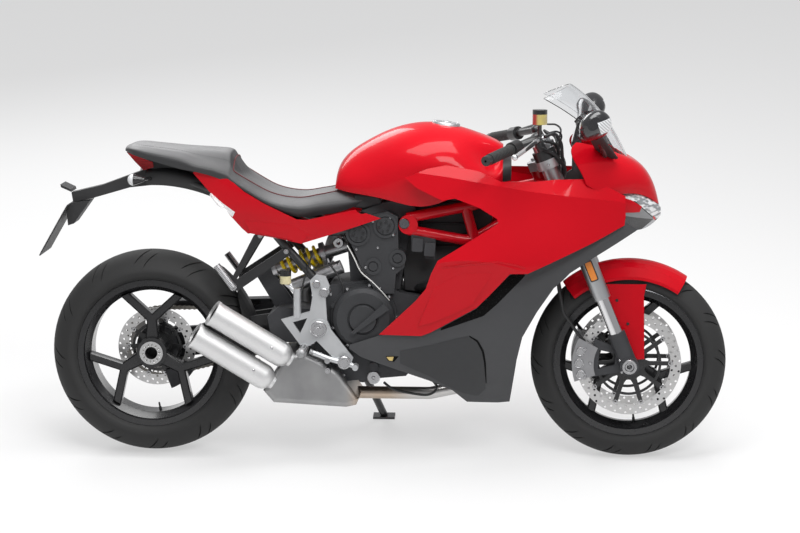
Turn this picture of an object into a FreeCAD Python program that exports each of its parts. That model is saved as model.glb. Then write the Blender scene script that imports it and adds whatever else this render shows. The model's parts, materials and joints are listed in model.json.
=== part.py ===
import FreeCAD, Part
import math
import os

V = FreeCAD.Vector

# Driving dimensions, in millimetres and degrees.
# The bike is drawn upright: X forward from the rear axle, Y to its left, Z up from the ground.
WHEELBASE = 1470.0
RIM_SEAT_RADIUS = 216.0
FRONT_SECTION_HEIGHT = 84.0
FRONT_TYRE_WIDTH = 120.0
FRONT_CROWN_SHARE = 1.0333
FRONT_RIM_WIDTH = 89.0
REAR_SECTION_HEIGHT = 99.0
REAR_TYRE_WIDTH = 180.0
REAR_CROWN_SHARE = 1.1111
REAR_RIM_WIDTH = 140.0
RAKE_ANGLE = 22.3
FORK_OFFSET = 30.0
LEG_SPACING = 210.0
STEERING_LOCK_ANGLE = 25.0
STAND_LEAN_ANGLE = 10.0
STAND_SWING_ANGLE = 95.0

# The tyres' sizes follow the rims and sections.
FRONT_TYRE_RADIUS = RIM_SEAT_RADIUS + FRONT_SECTION_HEIGHT
REAR_TYRE_RADIUS = RIM_SEAT_RADIUS + REAR_SECTION_HEIGHT
FRONT_CROWN_RADIUS = FRONT_TYRE_WIDTH / 2 * FRONT_CROWN_SHARE
REAR_CROWN_RADIUS = REAR_TYRE_WIDTH / 2 * REAR_CROWN_SHARE

# The rear arm stands beside the rear tyre, the engine is as wide as the arm and the chain runs outside both.
ARM_TYRE_GAP = 8.0
ARM_THICKNESS = 23.0
CASE_RECESS = 1.0
CHAIN_GAP = 14.0
ARM_INSIDE = REAR_TYRE_WIDTH / 2 + ARM_TYRE_GAP
ARM_OUTSIDE = ARM_INSIDE + ARM_THICKNESS
CASE_HALF = ARM_OUTSIDE - CASE_RECESS
CHAIN_LINE = ARM_OUTSIDE + CHAIN_GAP

# Clearances and walls that several pieces use
SEAT_CLEARANCE = 0.3
RUNNING_CLEARANCE = 0.5
MOVING_CLEARANCE = 5.5
PANEL_WALL = 3.0
SCREEN_WALL = 3.0
CUT_OVERRUN = 40.0
BEND_SHARE = 0.45
TOLERANCE_SHARE = 0.001

# Tyres
TREAD_WALL = 11.0
SIDE_WALL = 8.0
SIDE_BULGE_SHARE = 0.45
BULGE_INSET_SHARE = 0.25

# Rims
FLANGE_HEIGHT = 12.0
FLANGE_WIDTH = 6.0
RIM_WALL = 6.0
BEAD_LAND = 13.0
RIM_WELL_DEPTH = 18.0
SPOKE_COUNT = 3
SPOKE_FIRST_ANGLE = 90.0
SPOKE_FORK_ANGLE = 25.0
SPOKE_FORK_SHARE = 0.52
SPOKE_TAPER_SHARE = 0.72
STEM_WIDTH = 44.0
BRANCH_WIDTH = 26.0
FRONT_SPOKE_DEPTH = 30.0
REAR_SPOKE_DEPTH = 38.0
REAR_SPOKE_OFFSET = 34.0
SPOKE_EDGE = 4.0

# Front axle, hub and brake
FRONT_AXLE_RADIUS = 12.5
FRONT_HUB_RADIUS = 34.0
AXLE_RECESS = 1.0
FRONT_AXLE_BORE = 16.0
AXLE_SPACER_RADIUS = 17.0
FRONT_DISC_RADIUS = 160.0
DISC_LEG_GAP = 14.0
FRONT_DISC_BAND = 32.0
DISC_THICKNESS = 5.0
DISC_ARM_COUNT = 8
DISC_ARM_WIDTH = 15.0
DISC_CARRIER_RADIUS = 60.0
CALIPER_INNER_RADIUS = 108.0
CALIPER_OUTER_RADIUS = 174.0
CALIPER_START_ANGLE = 152.0
CALIPER_SPAN_ANGLE = 46.0
CALIPER_INNER_DEPTH = 24.0
CALIPER_OUTER_DEPTH = 37.0
CALIPER_LUG_SHARES = ((-0.046, 0.2586), (-0.6034, 0.4483), (-0.6897, 0.0), (-0.6207, -0.2184),
                      (-0.069, -0.1149))
CALIPER_WINDOW_SHARES = ((-0.2414, 0.1954), (-0.5287, 0.2586), (-0.5402, -0.0805), (-0.2529, -0.0115))
CALIPER_LUG_GAP = 4.0
CALIPER_LUG_THICKNESS = 14.0

# Rear hub, brake, sprocket and chain
REAR_HUB_RADIUS = 46.0
REAR_HUB_FACE = 66.0
REAR_AXLE_RADIUS = 30.0
REAR_AXLE_BORE = 36.0
REAR_NUT_RADIUS = 19.0
REAR_NUT_FACE = 76.0
REAR_DISC_RADIUS = 122.0
REAR_DISC_OFFSET = 50.0
REAR_DISC_BAND = 36.0
CARRIER_RADIUS = 66.0
CARRIER_INSIDE = 58.0
CHAIN_PITCH = 15.875
REAR_TEETH = 43
FRONT_TEETH = 15
CHAIN_HEIGHT = 15.0
CHAIN_WIDTH = 16.0
CHAIN_PLATE = 3.0
CHAIN_WAIST = 2.6
CHAIN_CORE_SHARE = 0.62
SPROCKET_THICKNESS = 7.0
SPROCKET_TOOTH_SHARES = ((0.0, 0.85), (0.25, 0.85), (0.42, 0.38), (0.58, 0.38), (0.75, 0.85))
SPROCKET_HOLE_COUNT = 6
SPROCKET_HOLE_PLACE_SHARE = 0.66
SPROCKET_HOLE_RADIUS = 14.0
FRONT_SPROCKET_SHARES = (0.585, 0.395)

# Fork, measured up the legs from the axle
OUTER_TUBE_RADIUS = 27.0
INNER_TUBE_RADIUS = 21.5
FORK_BOTTOM_RADIUS = 27.0
AXLE_BOSS_RADIUS = 28.5
AXLE_BOSS_PROUD = 28.0
AXLE_BOSS_STEP = 2.0
FORK_BOTTOM_TOP = 108.0
OUTER_TUBE_FOOT = 222.0
OUTER_TUBE_TOP = 728.0
INNER_TUBE_FOOT = 60.0
INNER_TUBE_TOP = 420.0
LOWER_CLAMP_FOOT = 492.0
LOWER_CLAMP_HEIGHT = 40.0
UPPER_CLAMP_FOOT = 652.0
UPPER_CLAMP_HEIGHT = 28.0
CLAMP_WALL = 9.0
STEM_RADIUS = 16.0
STEM_BORE_RADIUS = 10.0
STEM_BOSS_RADIUS = 34.0
STEM_NUT_RADIUS = 19.0
STEM_NUT_HEIGHT = 9.0
HEADSTOCK_RADIUS = 33.0
HEADSTOCK_GAP = 1.0

# Handlebars
BAR_RADIUS = 11.0
GRIP_RADIUS = 16.5
GRIP_LENGTH = 118.0
BAR_WEIGHT_RADIUS = 15.0
BAR_WEIGHT_LENGTH = 20.0
BAR_THREAD_RADIUS = 4.0
BAR_THREAD_DEPTH = 18.0
SWITCH_RADIUS = 21.0
SWITCH_LENGTH = 38.0
BAR_RING_HEIGHT = 30.0
BAR_RING_WALL = 8.0
KNUCKLE_SWELL = 1.5
BAR_END_SHARES = (1.043, 0.350, 0.951)
BAR_ROOT_SHARES = (1.180, 0.134, 0.996)
LEVER_PIVOT_SHARES = (1.190, 0.205, 1.000)
LEVER_BEND_SHARES = (1.166, 0.262, 0.985)
LEVER_TIP_SHARES = (1.118, 0.348, 0.958)
LEVER_RADIUS = 6.5
LEVER_BALL_RADIUS = 9.0
PERCH_RADIUS = 13.0
CUP_SHARES = (1.190, 0.222, 1.044)
CUP_RADIUS = 22.0
CUP_HEIGHT = 44.0
CUP_STALK_RADIUS = 6.0


def once(build):
    """Each piece is made once and handed out as copies."""
    made = []

    def copied():
        if not made:
            made.append(build())
        return made[0].copy()

    return copied


def at(shares):
    """A place in shares of the length, breadth and height that the body follows."""
    x, y, z = shares
    return V(LENGTH * x, BREADTH * y, HEIGHT * z)


def flat(shares):
    """The same in the X-Z plane alone."""
    x, z = shares
    return LENGTH * x, HEIGHT * z


def mirrored(shape):
    return shape.mirror(V(0, 0, 0), V(0, 1, 0))


def joined(shapes):
    whole = shapes[0]
    if len(shapes) > 1:
        whole = whole.fuse(shapes[1:])
    return whole.removeSplitter()


def largest(shape):
    """The piece that is left of a trimmed shape, without the scraps beyond its neighbours."""
    return max(shape.Solids, key=lambda solid: solid.Volume)


def pair(shape):
    return Part.makeCompound([shape, mirrored(shape)])


def rod(start, end, radius):
    axis = end - start
    return Part.makeCylinder(radius, axis.Length, start, axis)


def cross_rod(x, z, near, far, radius):
    return Part.makeCylinder(radius, far - near, V(x, near, z), V(0, 1, 0))


def slab(points, near, far):
    """An outline in the X-Z plane, pulled from one Y to another."""
    corners = [V(x, near, z) for x, z in points]
    face = Part.Face(Part.makePolygon(corners + corners[:1]))
    return face.extrude(V(0, far - near, 0))


def prism(shares, near, far):
    return slab([flat(spot) for spot in shares], near, far)


def prism_about(centre, size, shares, near, far):
    """An outline in shares of one size, about a centre."""
    return slab([(centre.x + size * x, centre.z + size * z) for x, z in shares], near, far)


def bent_path(points, radius):
    """Straight runs joined by tangent arcs, each arc no larger than its runs allow."""
    edges = []
    start = points[0]
    for before, corner, after in zip(points, points[1:], points[2:]):
        back = (before - corner).normalize()
        ahead = (after - corner).normalize()
        half_turn = (math.pi - back.getAngle(ahead)) / 2
        room = min((before - corner).Length, (after - corner).Length) * BEND_SHARE
        reach = min(radius * math.tan(half_turn), room)
        bend = reach / math.tan(half_turn)
        middle = (back + ahead).normalize()
        centre = corner + middle * (bend / math.cos(half_turn))
        first = corner + back * reach
        last = corner + ahead * reach
        edges.append(Part.LineSegment(start, first).toShape())
        edges.append(Part.Arc(first, centre - middle * bend, last).toShape())
        start = last
    edges.append(Part.LineSegment(start, points[-1]).toShape())
    return Part.Wire(edges)


def pipe(points, radius, bend=0, bore=0):
    """A round tube along straight runs and arcs, hollow where it has a bore."""
    path = bent_path(points, bend) if len(points) > 2 else Part.makePolygon(points)
    heading = points[1] - points[0]
    solid = swept(path, points[0], heading, radius)
    if bore:
        solid = solid.cut(swept(path, points[0], heading, bore))
    return solid


def swept(path, start, heading, radius):
    ring = Part.Wire(Part.Circle(start, heading, radius).toShape())
    return path.makePipeShell([ring], True, True)


def spun(points, centre, angle=360.0, start=0.0):
    """A profile of Y and radius, turned about a cross axis through the centre."""
    corners = [V(centre.x + r, y, centre.z) for y, r in points]
    face = Part.Face(Part.makePolygon(corners + corners[:1]))
    face.rotate(centre, V(0, -1, 0), start)
    return face.revolve(centre, V(0, -1, 0), angle)


def loft(sections, ruled=False):
    return Part.makeLoft(sections, True, ruled)


def arch(station, shares):
    """A closed cross-section at one X: a curve over the top, mirrored, with a flat foot."""
    left = [at((station, y, z)) for y, z in shares]
    right = [V(point.x, -point.y, point.z) for point in reversed(left)]
    return Part.Wire([curve_through(right + left[1:]), Part.LineSegment(left[-1], right[0]).toShape()])


def curve_through(points):
    curve = Part.BSplineCurve()
    curve.interpolate(points)
    return curve.toShape()


def shifted(grid, wall):
    """The grid's points moved inward along the local normal by one wall."""
    rows = len(grid)
    columns = len(grid[0])
    moved = []
    for i in range(rows):
        line = []
        for j in range(columns):
            along = grid[min(i + 1, rows - 1)][j] - grid[max(i - 1, 0)][j]
            across = grid[i][min(j + 1, columns - 1)] - grid[i][max(j - 1, 0)]
            normal = along.cross(across).normalize()
            line.append(grid[i][j] + normal * wall)
        moved.append(line)
    return moved


def creased(points, creases):
    """A curve that is smooth but for a corner at each crease."""
    marks = [0] + list(creases) + [len(points) - 1]
    return [curve_through(points[first:last + 1]) for first, last in zip(marks, marks[1:])]


def skin(grid, wall, creases=()):
    """A curved sheet of one wall through a grid of points, with creases along some of its columns."""
    inner = shifted(grid, wall)
    rings = []
    caps = []
    for place, (front, back) in enumerate(zip(grid, inner)):
        face_edges = creased(front, creases)
        back_edges = creased(back, creases)
        ends = [Part.LineSegment(front[-1], back[-1]).toShape(), Part.LineSegment(back[0], front[0]).toShape()]
        rings.append(Part.Wire(face_edges + [ends[0]] + back_edges[::-1] + [ends[1]]))
        if place in (0, len(grid) - 1):
            caps += [Part.makeRuledSurface(*edges) for edges in zip(face_edges, back_edges)]
    shell = Part.Shell(Part.makeLoft(rings, False, False).Faces + caps)
    shell.sewShape()
    solid = Part.Solid(shell)
    if solid.isInside(V(0, 0, -HEIGHT), abs(wall) * TOLERANCE_SHARE, True):
        solid.reverse()
    return solid


def side_grid(stations, levels, widths):
    """Grid points of a side surface: a width for each station along and each level up."""
    return [[at((x, y, z)) for z, y in zip(heights, line)]
            for x, heights, line in zip(stations, levels, widths)]


# Places that everything hangs on
FRONT_AXLE = V(WHEELBASE, 0, FRONT_TYRE_RADIUS)
REAR_AXLE = V(0, 0, REAR_TYRE_RADIUS)
RAKE = math.radians(RAKE_ANGLE)
STEERING_UP = V(-math.sin(RAKE), 0, math.cos(RAKE))
STEERING_AHEAD = V(math.cos(RAKE), 0, math.sin(RAKE))
STEERING_FOOT = FRONT_AXLE - STEERING_AHEAD * FORK_OFFSET
STEERING_PLACE = FreeCAD.Placement(STEERING_FOOT, FreeCAD.Rotation(V(0, 1, 0), -RAKE_ANGLE))
HALF_LEGS = LEG_SPACING / 2
AXLE_BOSS_INSIDE = HALF_LEGS - FORK_BOTTOM_RADIUS - AXLE_BOSS_STEP
AXLE_BOSS_OUTSIDE = HALF_LEGS + AXLE_BOSS_PROUD
FRONT_AXLE_LENGTH = 2 * (AXLE_BOSS_OUTSIDE - AXLE_RECESS)
FRONT_DISC_OFFSET = AXLE_BOSS_INSIDE - DISC_LEG_GAP

# The body, frame and engine follow the steering head's place and the engine's width.
HEAD_MIDDLE = STEERING_FOOT + STEERING_UP * ((LOWER_CLAMP_FOOT + LOWER_CLAMP_HEIGHT + UPPER_CLAMP_FOOT) / 2)
HEAD_SHARES = (1.2176, 0.8363)
CASE_HALF_SHARE = 0.12
LENGTH = HEAD_MIDDLE.x / HEAD_SHARES[0]
HEIGHT = HEAD_MIDDLE.z / HEAD_SHARES[1]
BREADTH = CASE_HALF / CASE_HALF_SHARE


def raked(shape):
    """A shape drawn with the steering axis upright, set at the rake."""
    shape.Placement = STEERING_PLACE
    return shape


def crown(radius, half_width, crown_radius):
    """Radius of the tread's edge."""
    return radius - crown_radius + math.sqrt(crown_radius ** 2 - half_width ** 2)


def tyre(centre, radius, width, crown_radius, rim_width):
    half = width / 2
    bead = rim_width / 2
    edge = crown(radius, half, crown_radius)
    inside_edge = edge - SIDE_WALL
    flange = RIM_SEAT_RADIUS + FLANGE_HEIGHT
    bulge = flange + (edge - flange) * SIDE_BULGE_SHARE

    def spot(y, r):
        return V(centre.x, y, centre.z + r)

    def half_side(side):
        heel = spot(side * bead, RIM_SEAT_RADIUS)
        toe = spot(side * (bead - SIDE_WALL), RIM_SEAT_RADIUS)
        outer_start = spot(side * bead, flange)
        inner_start = spot(side * (bead - SIDE_WALL), flange)
        outer = Part.Arc(outer_start, spot(side * (half - SIDE_WALL * BULGE_INSET_SHARE), bulge),
                         spot(side * half, edge))
        inner = Part.Arc(inner_start, spot(side * (half - SIDE_WALL * (1 + BULGE_INSET_SHARE)), bulge),
                         spot(side * (half - SIDE_WALL), inside_edge))
        straights = [(heel, toe), (heel, outer_start), (toe, inner_start)]
        return [outer.toShape(), inner.toShape()] + [Part.LineSegment(a, b).toShape() for a, b in straights]

    tread = Part.Arc(spot(-half, edge), spot(0, radius), spot(half, edge)).toShape()
    lining = Part.Arc(spot(SIDE_WALL - half, inside_edge), spot(0, radius - TREAD_WALL),
                      spot(half - SIDE_WALL, inside_edge)).toShape()
    edges = half_side(-1) + half_side(1) + [tread, lining]
    wire = Part.Wire(Part.__sortEdges__(edges))
    return Part.Face(wire).revolve(centre, V(0, 1, 0), 360)


def barrel(centre, width):
    bead = width / 2
    flange = RIM_SEAT_RADIUS + FLANGE_HEIGHT
    well = RIM_SEAT_RADIUS - RIM_WELL_DEPTH
    step = bead - BEAD_LAND
    slope = step - RIM_WELL_DEPTH
    half = [(bead + FLANGE_WIDTH, flange), (bead, flange), (bead, RIM_SEAT_RADIUS), (step, RIM_SEAT_RADIUS),
            (slope, well)]
    under = [(slope - RIM_WALL / 2, well - RIM_WALL), (step - RIM_WALL / 2, RIM_SEAT_RADIUS - RIM_WALL),
             (bead + FLANGE_WIDTH, RIM_SEAT_RADIUS - RIM_WALL)]
    right = [(-y, r) for y, r in half]
    right_under = [(-y, r) for y, r in under]
    points = right + list(reversed(half)) + list(reversed(under)) + right_under
    return spun(points, centre)


def spoke(centre, angle, hub_radius, depth, offset):
    """One arm that splits into two before it meets the rim."""
    reach = RIM_SEAT_RADIUS - RIM_WELL_DEPTH - RIM_WALL / 2
    fork = reach * SPOKE_FORK_SHARE
    half = math.radians(SPOKE_FORK_ANGLE)
    tip = V(centre.x + reach * math.cos(half), 0, centre.z + reach * math.sin(half))
    low_tip = V(tip.x, 0, centre.z - reach * math.sin(half))
    split = V(centre.x + fork, 0, centre.z)
    root = V(centre.x + hub_radius / 2, 0, centre.z)
    bars = [bar(root, split, STEM_WIDTH, STEM_WIDTH * SPOKE_TAPER_SHARE, depth, offset),
            bar(split, tip, BRANCH_WIDTH, BRANCH_WIDTH, depth, offset),
            bar(split, low_tip, BRANCH_WIDTH, BRANCH_WIDTH, depth, offset)]
    arm = joined(bars)
    arm.rotate(centre, V(0, -1, 0), angle)
    return arm


def bar(start, end, start_width, end_width, depth, offset):
    """A flat tapered bar in the wheel's plane, with bevelled long edges and a round end."""
    along = (end - start).normalize()
    side = V(-along.z, 0, along.x)
    sections = []
    for place, width in ((start, start_width), (end, end_width)):
        half = width / 2
        corners = [(half, SPOKE_EDGE - depth / 2), (half, depth / 2 - SPOKE_EDGE),
                   (half - SPOKE_EDGE, depth / 2), (SPOKE_EDGE - half, depth / 2),
                   (-half, depth / 2 - SPOKE_EDGE), (-half, SPOKE_EDGE - depth / 2),
                   (SPOKE_EDGE - half, -depth / 2), (half - SPOKE_EDGE, -depth / 2)]
        points = [place + side * s + V(0, offset + y, 0) for s, y in corners]
        sections.append(Part.makePolygon(points + points[:1]))
    solid = loft(sections, True)
    knuckle = Part.makeCylinder(end_width / 2, depth - 2 * SPOKE_EDGE,
                                V(end.x, offset - depth / 2 + SPOKE_EDGE, end.z), V(0, 1, 0))
    return solid.fuse(knuckle)


def rim(centre, width, hub, depth, offset, hub_radius):
    arms = [spoke(centre, SPOKE_FIRST_ANGLE + 360 / SPOKE_COUNT * i, hub_radius, depth, offset)
            for i in range(SPOKE_COUNT)]
    outside = Part.makeCylinder(RIM_SEAT_RADIUS - RIM_WALL, width, centre - V(0, width / 2, 0), V(0, 1, 0))
    trimmed = [arm.common(outside) for arm in arms]
    well = RIM_SEAT_RADIUS - RIM_WELL_DEPTH
    core = Part.makeCylinder(well - RIM_WALL / 2, width, centre - V(0, width / 2, 0), V(0, 1, 0))
    trimmed = [arm.common(core) for arm in trimmed]
    return joined([barrel(centre, width)] + trimmed + [hub])


def front_tyre():
    return tyre(FRONT_AXLE, FRONT_TYRE_RADIUS, FRONT_TYRE_WIDTH, FRONT_CROWN_RADIUS, FRONT_RIM_WIDTH)


def rear_tyre():
    return tyre(REAR_AXLE, REAR_TYRE_RADIUS, REAR_TYRE_WIDTH, REAR_CROWN_RADIUS, REAR_RIM_WIDTH)


def front_rim():
    half = FRONT_DISC_OFFSET - DISC_THICKNESS / 2
    hub = cross_rod(FRONT_AXLE.x, FRONT_AXLE.z, -half, half, FRONT_HUB_RADIUS)
    wheel = rim(FRONT_AXLE, FRONT_RIM_WIDTH, hub, FRONT_SPOKE_DEPTH, 0, FRONT_HUB_RADIUS)
    bore = cross_rod(FRONT_AXLE.x, FRONT_AXLE.z, -half - CUT_OVERRUN, half + CUT_OVERRUN,
                     FRONT_AXLE_RADIUS + RUNNING_CLEARANCE)
    return wheel.cut(bore)


def rear_rim():
    hub = cross_rod(REAR_AXLE.x, REAR_AXLE.z, -REAR_HUB_FACE, REAR_DISC_OFFSET - DISC_THICKNESS / 2,
                    REAR_HUB_RADIUS)
    return rim(REAR_AXLE, REAR_RIM_WIDTH, hub, REAR_SPOKE_DEPTH, -REAR_SPOKE_OFFSET,
               REAR_HUB_RADIUS).cut(rear_axle_bore())


def rear_axle_bore():
    return cross_rod(REAR_AXLE.x, REAR_AXLE.z, -2 * REAR_HUB_FACE, 2 * ARM_OUTSIDE, REAR_AXLE_RADIUS)


def rear_axle():
    """The hollow axle that turns with the rear wheel, with its nut on the right."""
    outer_end = CHAIN_LINE + SPROCKET_THICKNESS
    shaft = cross_rod(REAR_AXLE.x, REAR_AXLE.z, -REAR_NUT_FACE, outer_end, REAR_AXLE_RADIUS)
    flange = cross_rod(REAR_AXLE.x, REAR_AXLE.z, -REAR_NUT_FACE, -REAR_HUB_FACE, REAR_AXLE_BORE)
    bore = cross_rod(REAR_AXLE.x, REAR_AXLE.z, -2 * REAR_NUT_FACE, 2 * outer_end, REAR_NUT_RADIUS)
    return joined([shaft, flange]).cut(bore)


def disc(centre, radius, band, offset, hub_radius, bore):
    """A brake disc: a flat ring on a carrier with arms."""
    near = offset - DISC_THICKNESS / 2
    far = offset + DISC_THICKNESS / 2
    ring = cross_rod(centre.x, centre.z, near, far, radius).cut(
        cross_rod(centre.x, centre.z, near, far, radius - band))
    hub = cross_rod(centre.x, centre.z, near, far, hub_radius)
    arms = []
    for i in range(DISC_ARM_COUNT):
        arm = Part.makeBox(radius - band / 2, DISC_THICKNESS, DISC_ARM_WIDTH,
                           V(centre.x, near, centre.z - DISC_ARM_WIDTH / 2))
        arm.rotate(centre, V(0, 1, 0), 360 / DISC_ARM_COUNT * i)
        arms.append(arm)
    hole = cross_rod(centre.x, centre.z, near, far, bore)
    return joined([ring, hub] + arms).cut(hole)


def front_discs():
    return pair(disc(FRONT_AXLE, FRONT_DISC_RADIUS, FRONT_DISC_BAND, FRONT_DISC_OFFSET,
                     DISC_CARRIER_RADIUS, FRONT_AXLE_RADIUS + RUNNING_CLEARANCE))


def rear_disc():
    return disc(REAR_AXLE, REAR_DISC_RADIUS, REAR_DISC_BAND, REAR_DISC_OFFSET, DISC_CARRIER_RADIUS,
                REAR_AXLE_RADIUS)


def sprocket_pitch_radius(teeth):
    return CHAIN_PITCH / 2 / math.sin(math.pi / teeth)


def sprocket(centre, teeth, bore):
    """A chain wheel whose teeth reach the rollers' centres."""
    radius = sprocket_pitch_radius(teeth)
    near = CHAIN_LINE - SPROCKET_THICKNESS / 2
    far = CHAIN_LINE + SPROCKET_THICKNESS / 2
    points = []
    for i in range(teeth):
        for turn, depth in SPROCKET_TOOTH_SHARES:
            angle = 2 * math.pi * (i + turn) / teeth
            reach = radius - CHAIN_HEIGHT * depth
            points.append(V(centre.x + reach * math.cos(angle), near, centre.z + reach * math.sin(angle)))
    wheel = Part.Face(Part.makePolygon(points + points[:1])).extrude(V(0, far - near, 0))
    return wheel.cut(cross_rod(centre.x, centre.z, near, far, bore))


def rear_sprocket():
    wheel = sprocket(REAR_AXLE, REAR_TEETH, REAR_AXLE_RADIUS)
    radius = sprocket_pitch_radius(REAR_TEETH) * SPROCKET_HOLE_PLACE_SHARE
    for i in range(SPROCKET_HOLE_COUNT):
        angle = 2 * math.pi * i / SPROCKET_HOLE_COUNT
        hole = cross_rod(REAR_AXLE.x + radius * math.cos(angle), REAR_AXLE.z + radius * math.sin(angle),
                         CHAIN_LINE - SPROCKET_THICKNESS, CHAIN_LINE + SPROCKET_THICKNESS,
                         SPROCKET_HOLE_RADIUS)
        wheel = wheel.cut(hole)
    return wheel


def small_sprocket_centre():
    x, z = flat(FRONT_SPROCKET_SHARES)
    return V(x, 0, z)


def chain_run():
    """The loop's four runs round both sprockets: centre, radius, first angle, length, and whether it turns."""
    rear = sprocket_pitch_radius(REAR_TEETH)
    front = sprocket_pitch_radius(FRONT_TEETH)
    small = small_sprocket_centre()
    line = small - REAR_AXLE
    lean = math.atan2(line.z, line.x)
    wrap = math.acos((rear - front) / line.Length)
    straight = math.sqrt(line.Length ** 2 - (rear - front) ** 2)
    return [(REAR_AXLE, rear, lean + wrap, straight, False),
            (small, front, lean + wrap, 2 * wrap * front, True),
            (small, front, lean - wrap, straight, False),
            (REAR_AXLE, rear, lean - wrap, 2 * (math.pi - wrap) * rear, True)]


def chain_spot(reach):
    """A point of the pitch line and the way out from it, at a length along the loop."""
    for centre, radius, start, length, turns in chain_run():
        angle = start - min(reach, length) / radius if turns else start
        out = V(math.cos(angle), 0, math.sin(angle))
        ahead = V(out.z, 0, -out.x) * (0 if turns else reach)
        if reach <= length:
            break
        reach -= length
    return centre + out * radius + ahead, out


def smooth_loop(grow, near, far):
    """The pitch line's loop, grown or shrunk, as a flat plate."""
    edges = []
    for centre, radius, start, length, turns in chain_run():
        sweep = length / radius if turns else 0
        out = [V(math.cos(start - sweep * part), 0, math.sin(start - sweep * part)) for part in (0, 1 / 2, 1)]
        first, middle, last = [centre + V(0, near, 0) + way * (radius + grow) for way in out]
        if turns:
            edges.append(Part.Arc(first, middle, last).toShape())
        else:
            edges.append(Part.LineSegment(first, first + V(out[0].z, 0, -out[0].x) * length).toShape())
    return Part.Face(Part.Wire(edges)).extrude(V(0, far - near, 0))


def link_plate(near, far):
    """One side's link plates: as high as a link at each pin, and narrower between them."""
    total = sum(run[3] for run in chain_run())
    links = 2 * round(total / CHAIN_PITCH / 2)
    outer = []
    for i in range(2 * links):
        point, out = chain_spot(total * i / links / 2)
        outer.append(point + out * (CHAIN_HEIGHT / 2 - CHAIN_WAIST * (i % 2)))
    plate = slab([(point.x, point.z) for point in outer], near, far)
    return plate.cut(smooth_loop(-CHAIN_HEIGHT / 2, near, far))


def drive_chain():
    """The chain, its plates narrower between the pins, and the small sprocket that it leaves the engine on."""
    small = small_sprocket_centre()
    wheel = sprocket(small, FRONT_TEETH, FRONT_AXLE_RADIUS)
    shaft = cross_rod(small.x, small.z, CASE_HALF, CHAIN_LINE + SPROCKET_THICKNESS, FRONT_AXLE_RADIUS)
    near = CHAIN_LINE - CHAIN_WIDTH / 2
    far = CHAIN_LINE + CHAIN_WIDTH / 2
    half_core = CHAIN_HEIGHT * CHAIN_CORE_SHARE / 2
    core = smooth_loop(half_core, near + CHAIN_PLATE, far - CHAIN_PLATE).cut(
        smooth_loop(-half_core, near + CHAIN_PLATE, far - CHAIN_PLATE))
    plates = [link_plate(near, near + CHAIN_PLATE), link_plate(far - CHAIN_PLATE, far)]
    return Part.makeCompound([joined(plates + [core]), joined([wheel, shaft])])


# Steering, drawn with its axis upright
def leg_rod(foot, top, radius):
    return Part.makeCylinder(radius, top - foot, V(FORK_OFFSET, HALF_LEGS, foot))


@once
def fork_tubes():
    outer = leg_rod(OUTER_TUBE_FOOT, OUTER_TUBE_TOP, OUTER_TUBE_RADIUS).cut(
        leg_rod(OUTER_TUBE_FOOT, INNER_TUBE_TOP, INNER_TUBE_RADIUS))
    inner = leg_rod(INNER_TUBE_FOOT, INNER_TUBE_TOP, INNER_TUBE_RADIUS)
    return raked(Part.makeCompound([outer, inner, mirrored(outer), mirrored(inner)]))


@once
def fork_bottoms():
    leg = leg_rod(0, FORK_BOTTOM_TOP, FORK_BOTTOM_RADIUS)
    boss = Part.makeCylinder(AXLE_BOSS_RADIUS, AXLE_BOSS_OUTSIDE - AXLE_BOSS_INSIDE,
                             V(FORK_OFFSET, AXLE_BOSS_INSIDE, 0), V(0, 1, 0))
    axle = Part.makeCylinder(FRONT_AXLE_RADIUS, FRONT_AXLE_LENGTH, V(FORK_OFFSET, 0, 0), V(0, 1, 0))
    side = joined([leg, boss]).cut(leg_rod(INNER_TUBE_FOOT, FORK_BOTTOM_TOP, INNER_TUBE_RADIUS))
    side = raked(side.cut(axle))
    near = AXLE_BOSS_INSIDE + CALIPER_LUG_GAP
    far = near + CALIPER_LUG_THICKNESS
    lug = prism_about(FRONT_AXLE, CALIPER_OUTER_RADIUS, CALIPER_LUG_SHARES, near, far).cut(
        prism_about(FRONT_AXLE, CALIPER_OUTER_RADIUS, CALIPER_WINDOW_SHARES, near, far))
    tube = leg_rod(INNER_TUBE_FOOT, INNER_TUBE_TOP, INNER_TUBE_RADIUS)
    lug = lug.cut(raked(tube)).cut(raked(axle)).cut(front_calipers().Solids[0])
    return pair(side.fuse(lug))


def front_axle():
    half = FRONT_AXLE_LENGTH / 2
    shaft = cross_rod(FRONT_AXLE.x, FRONT_AXLE.z, -half, half, FRONT_AXLE_RADIUS)
    hub_face = FRONT_DISC_OFFSET + DISC_THICKNESS / 2 + RUNNING_CLEARANCE
    spacer = cross_rod(FRONT_AXLE.x, FRONT_AXLE.z, hub_face, AXLE_BOSS_INSIDE, AXLE_SPACER_RADIUS)
    bore = cross_rod(FRONT_AXLE.x, FRONT_AXLE.z, -half, half, FRONT_AXLE_BORE / 2)
    return joined([shaft, spacer, mirrored(spacer)]).cut(bore)


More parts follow.
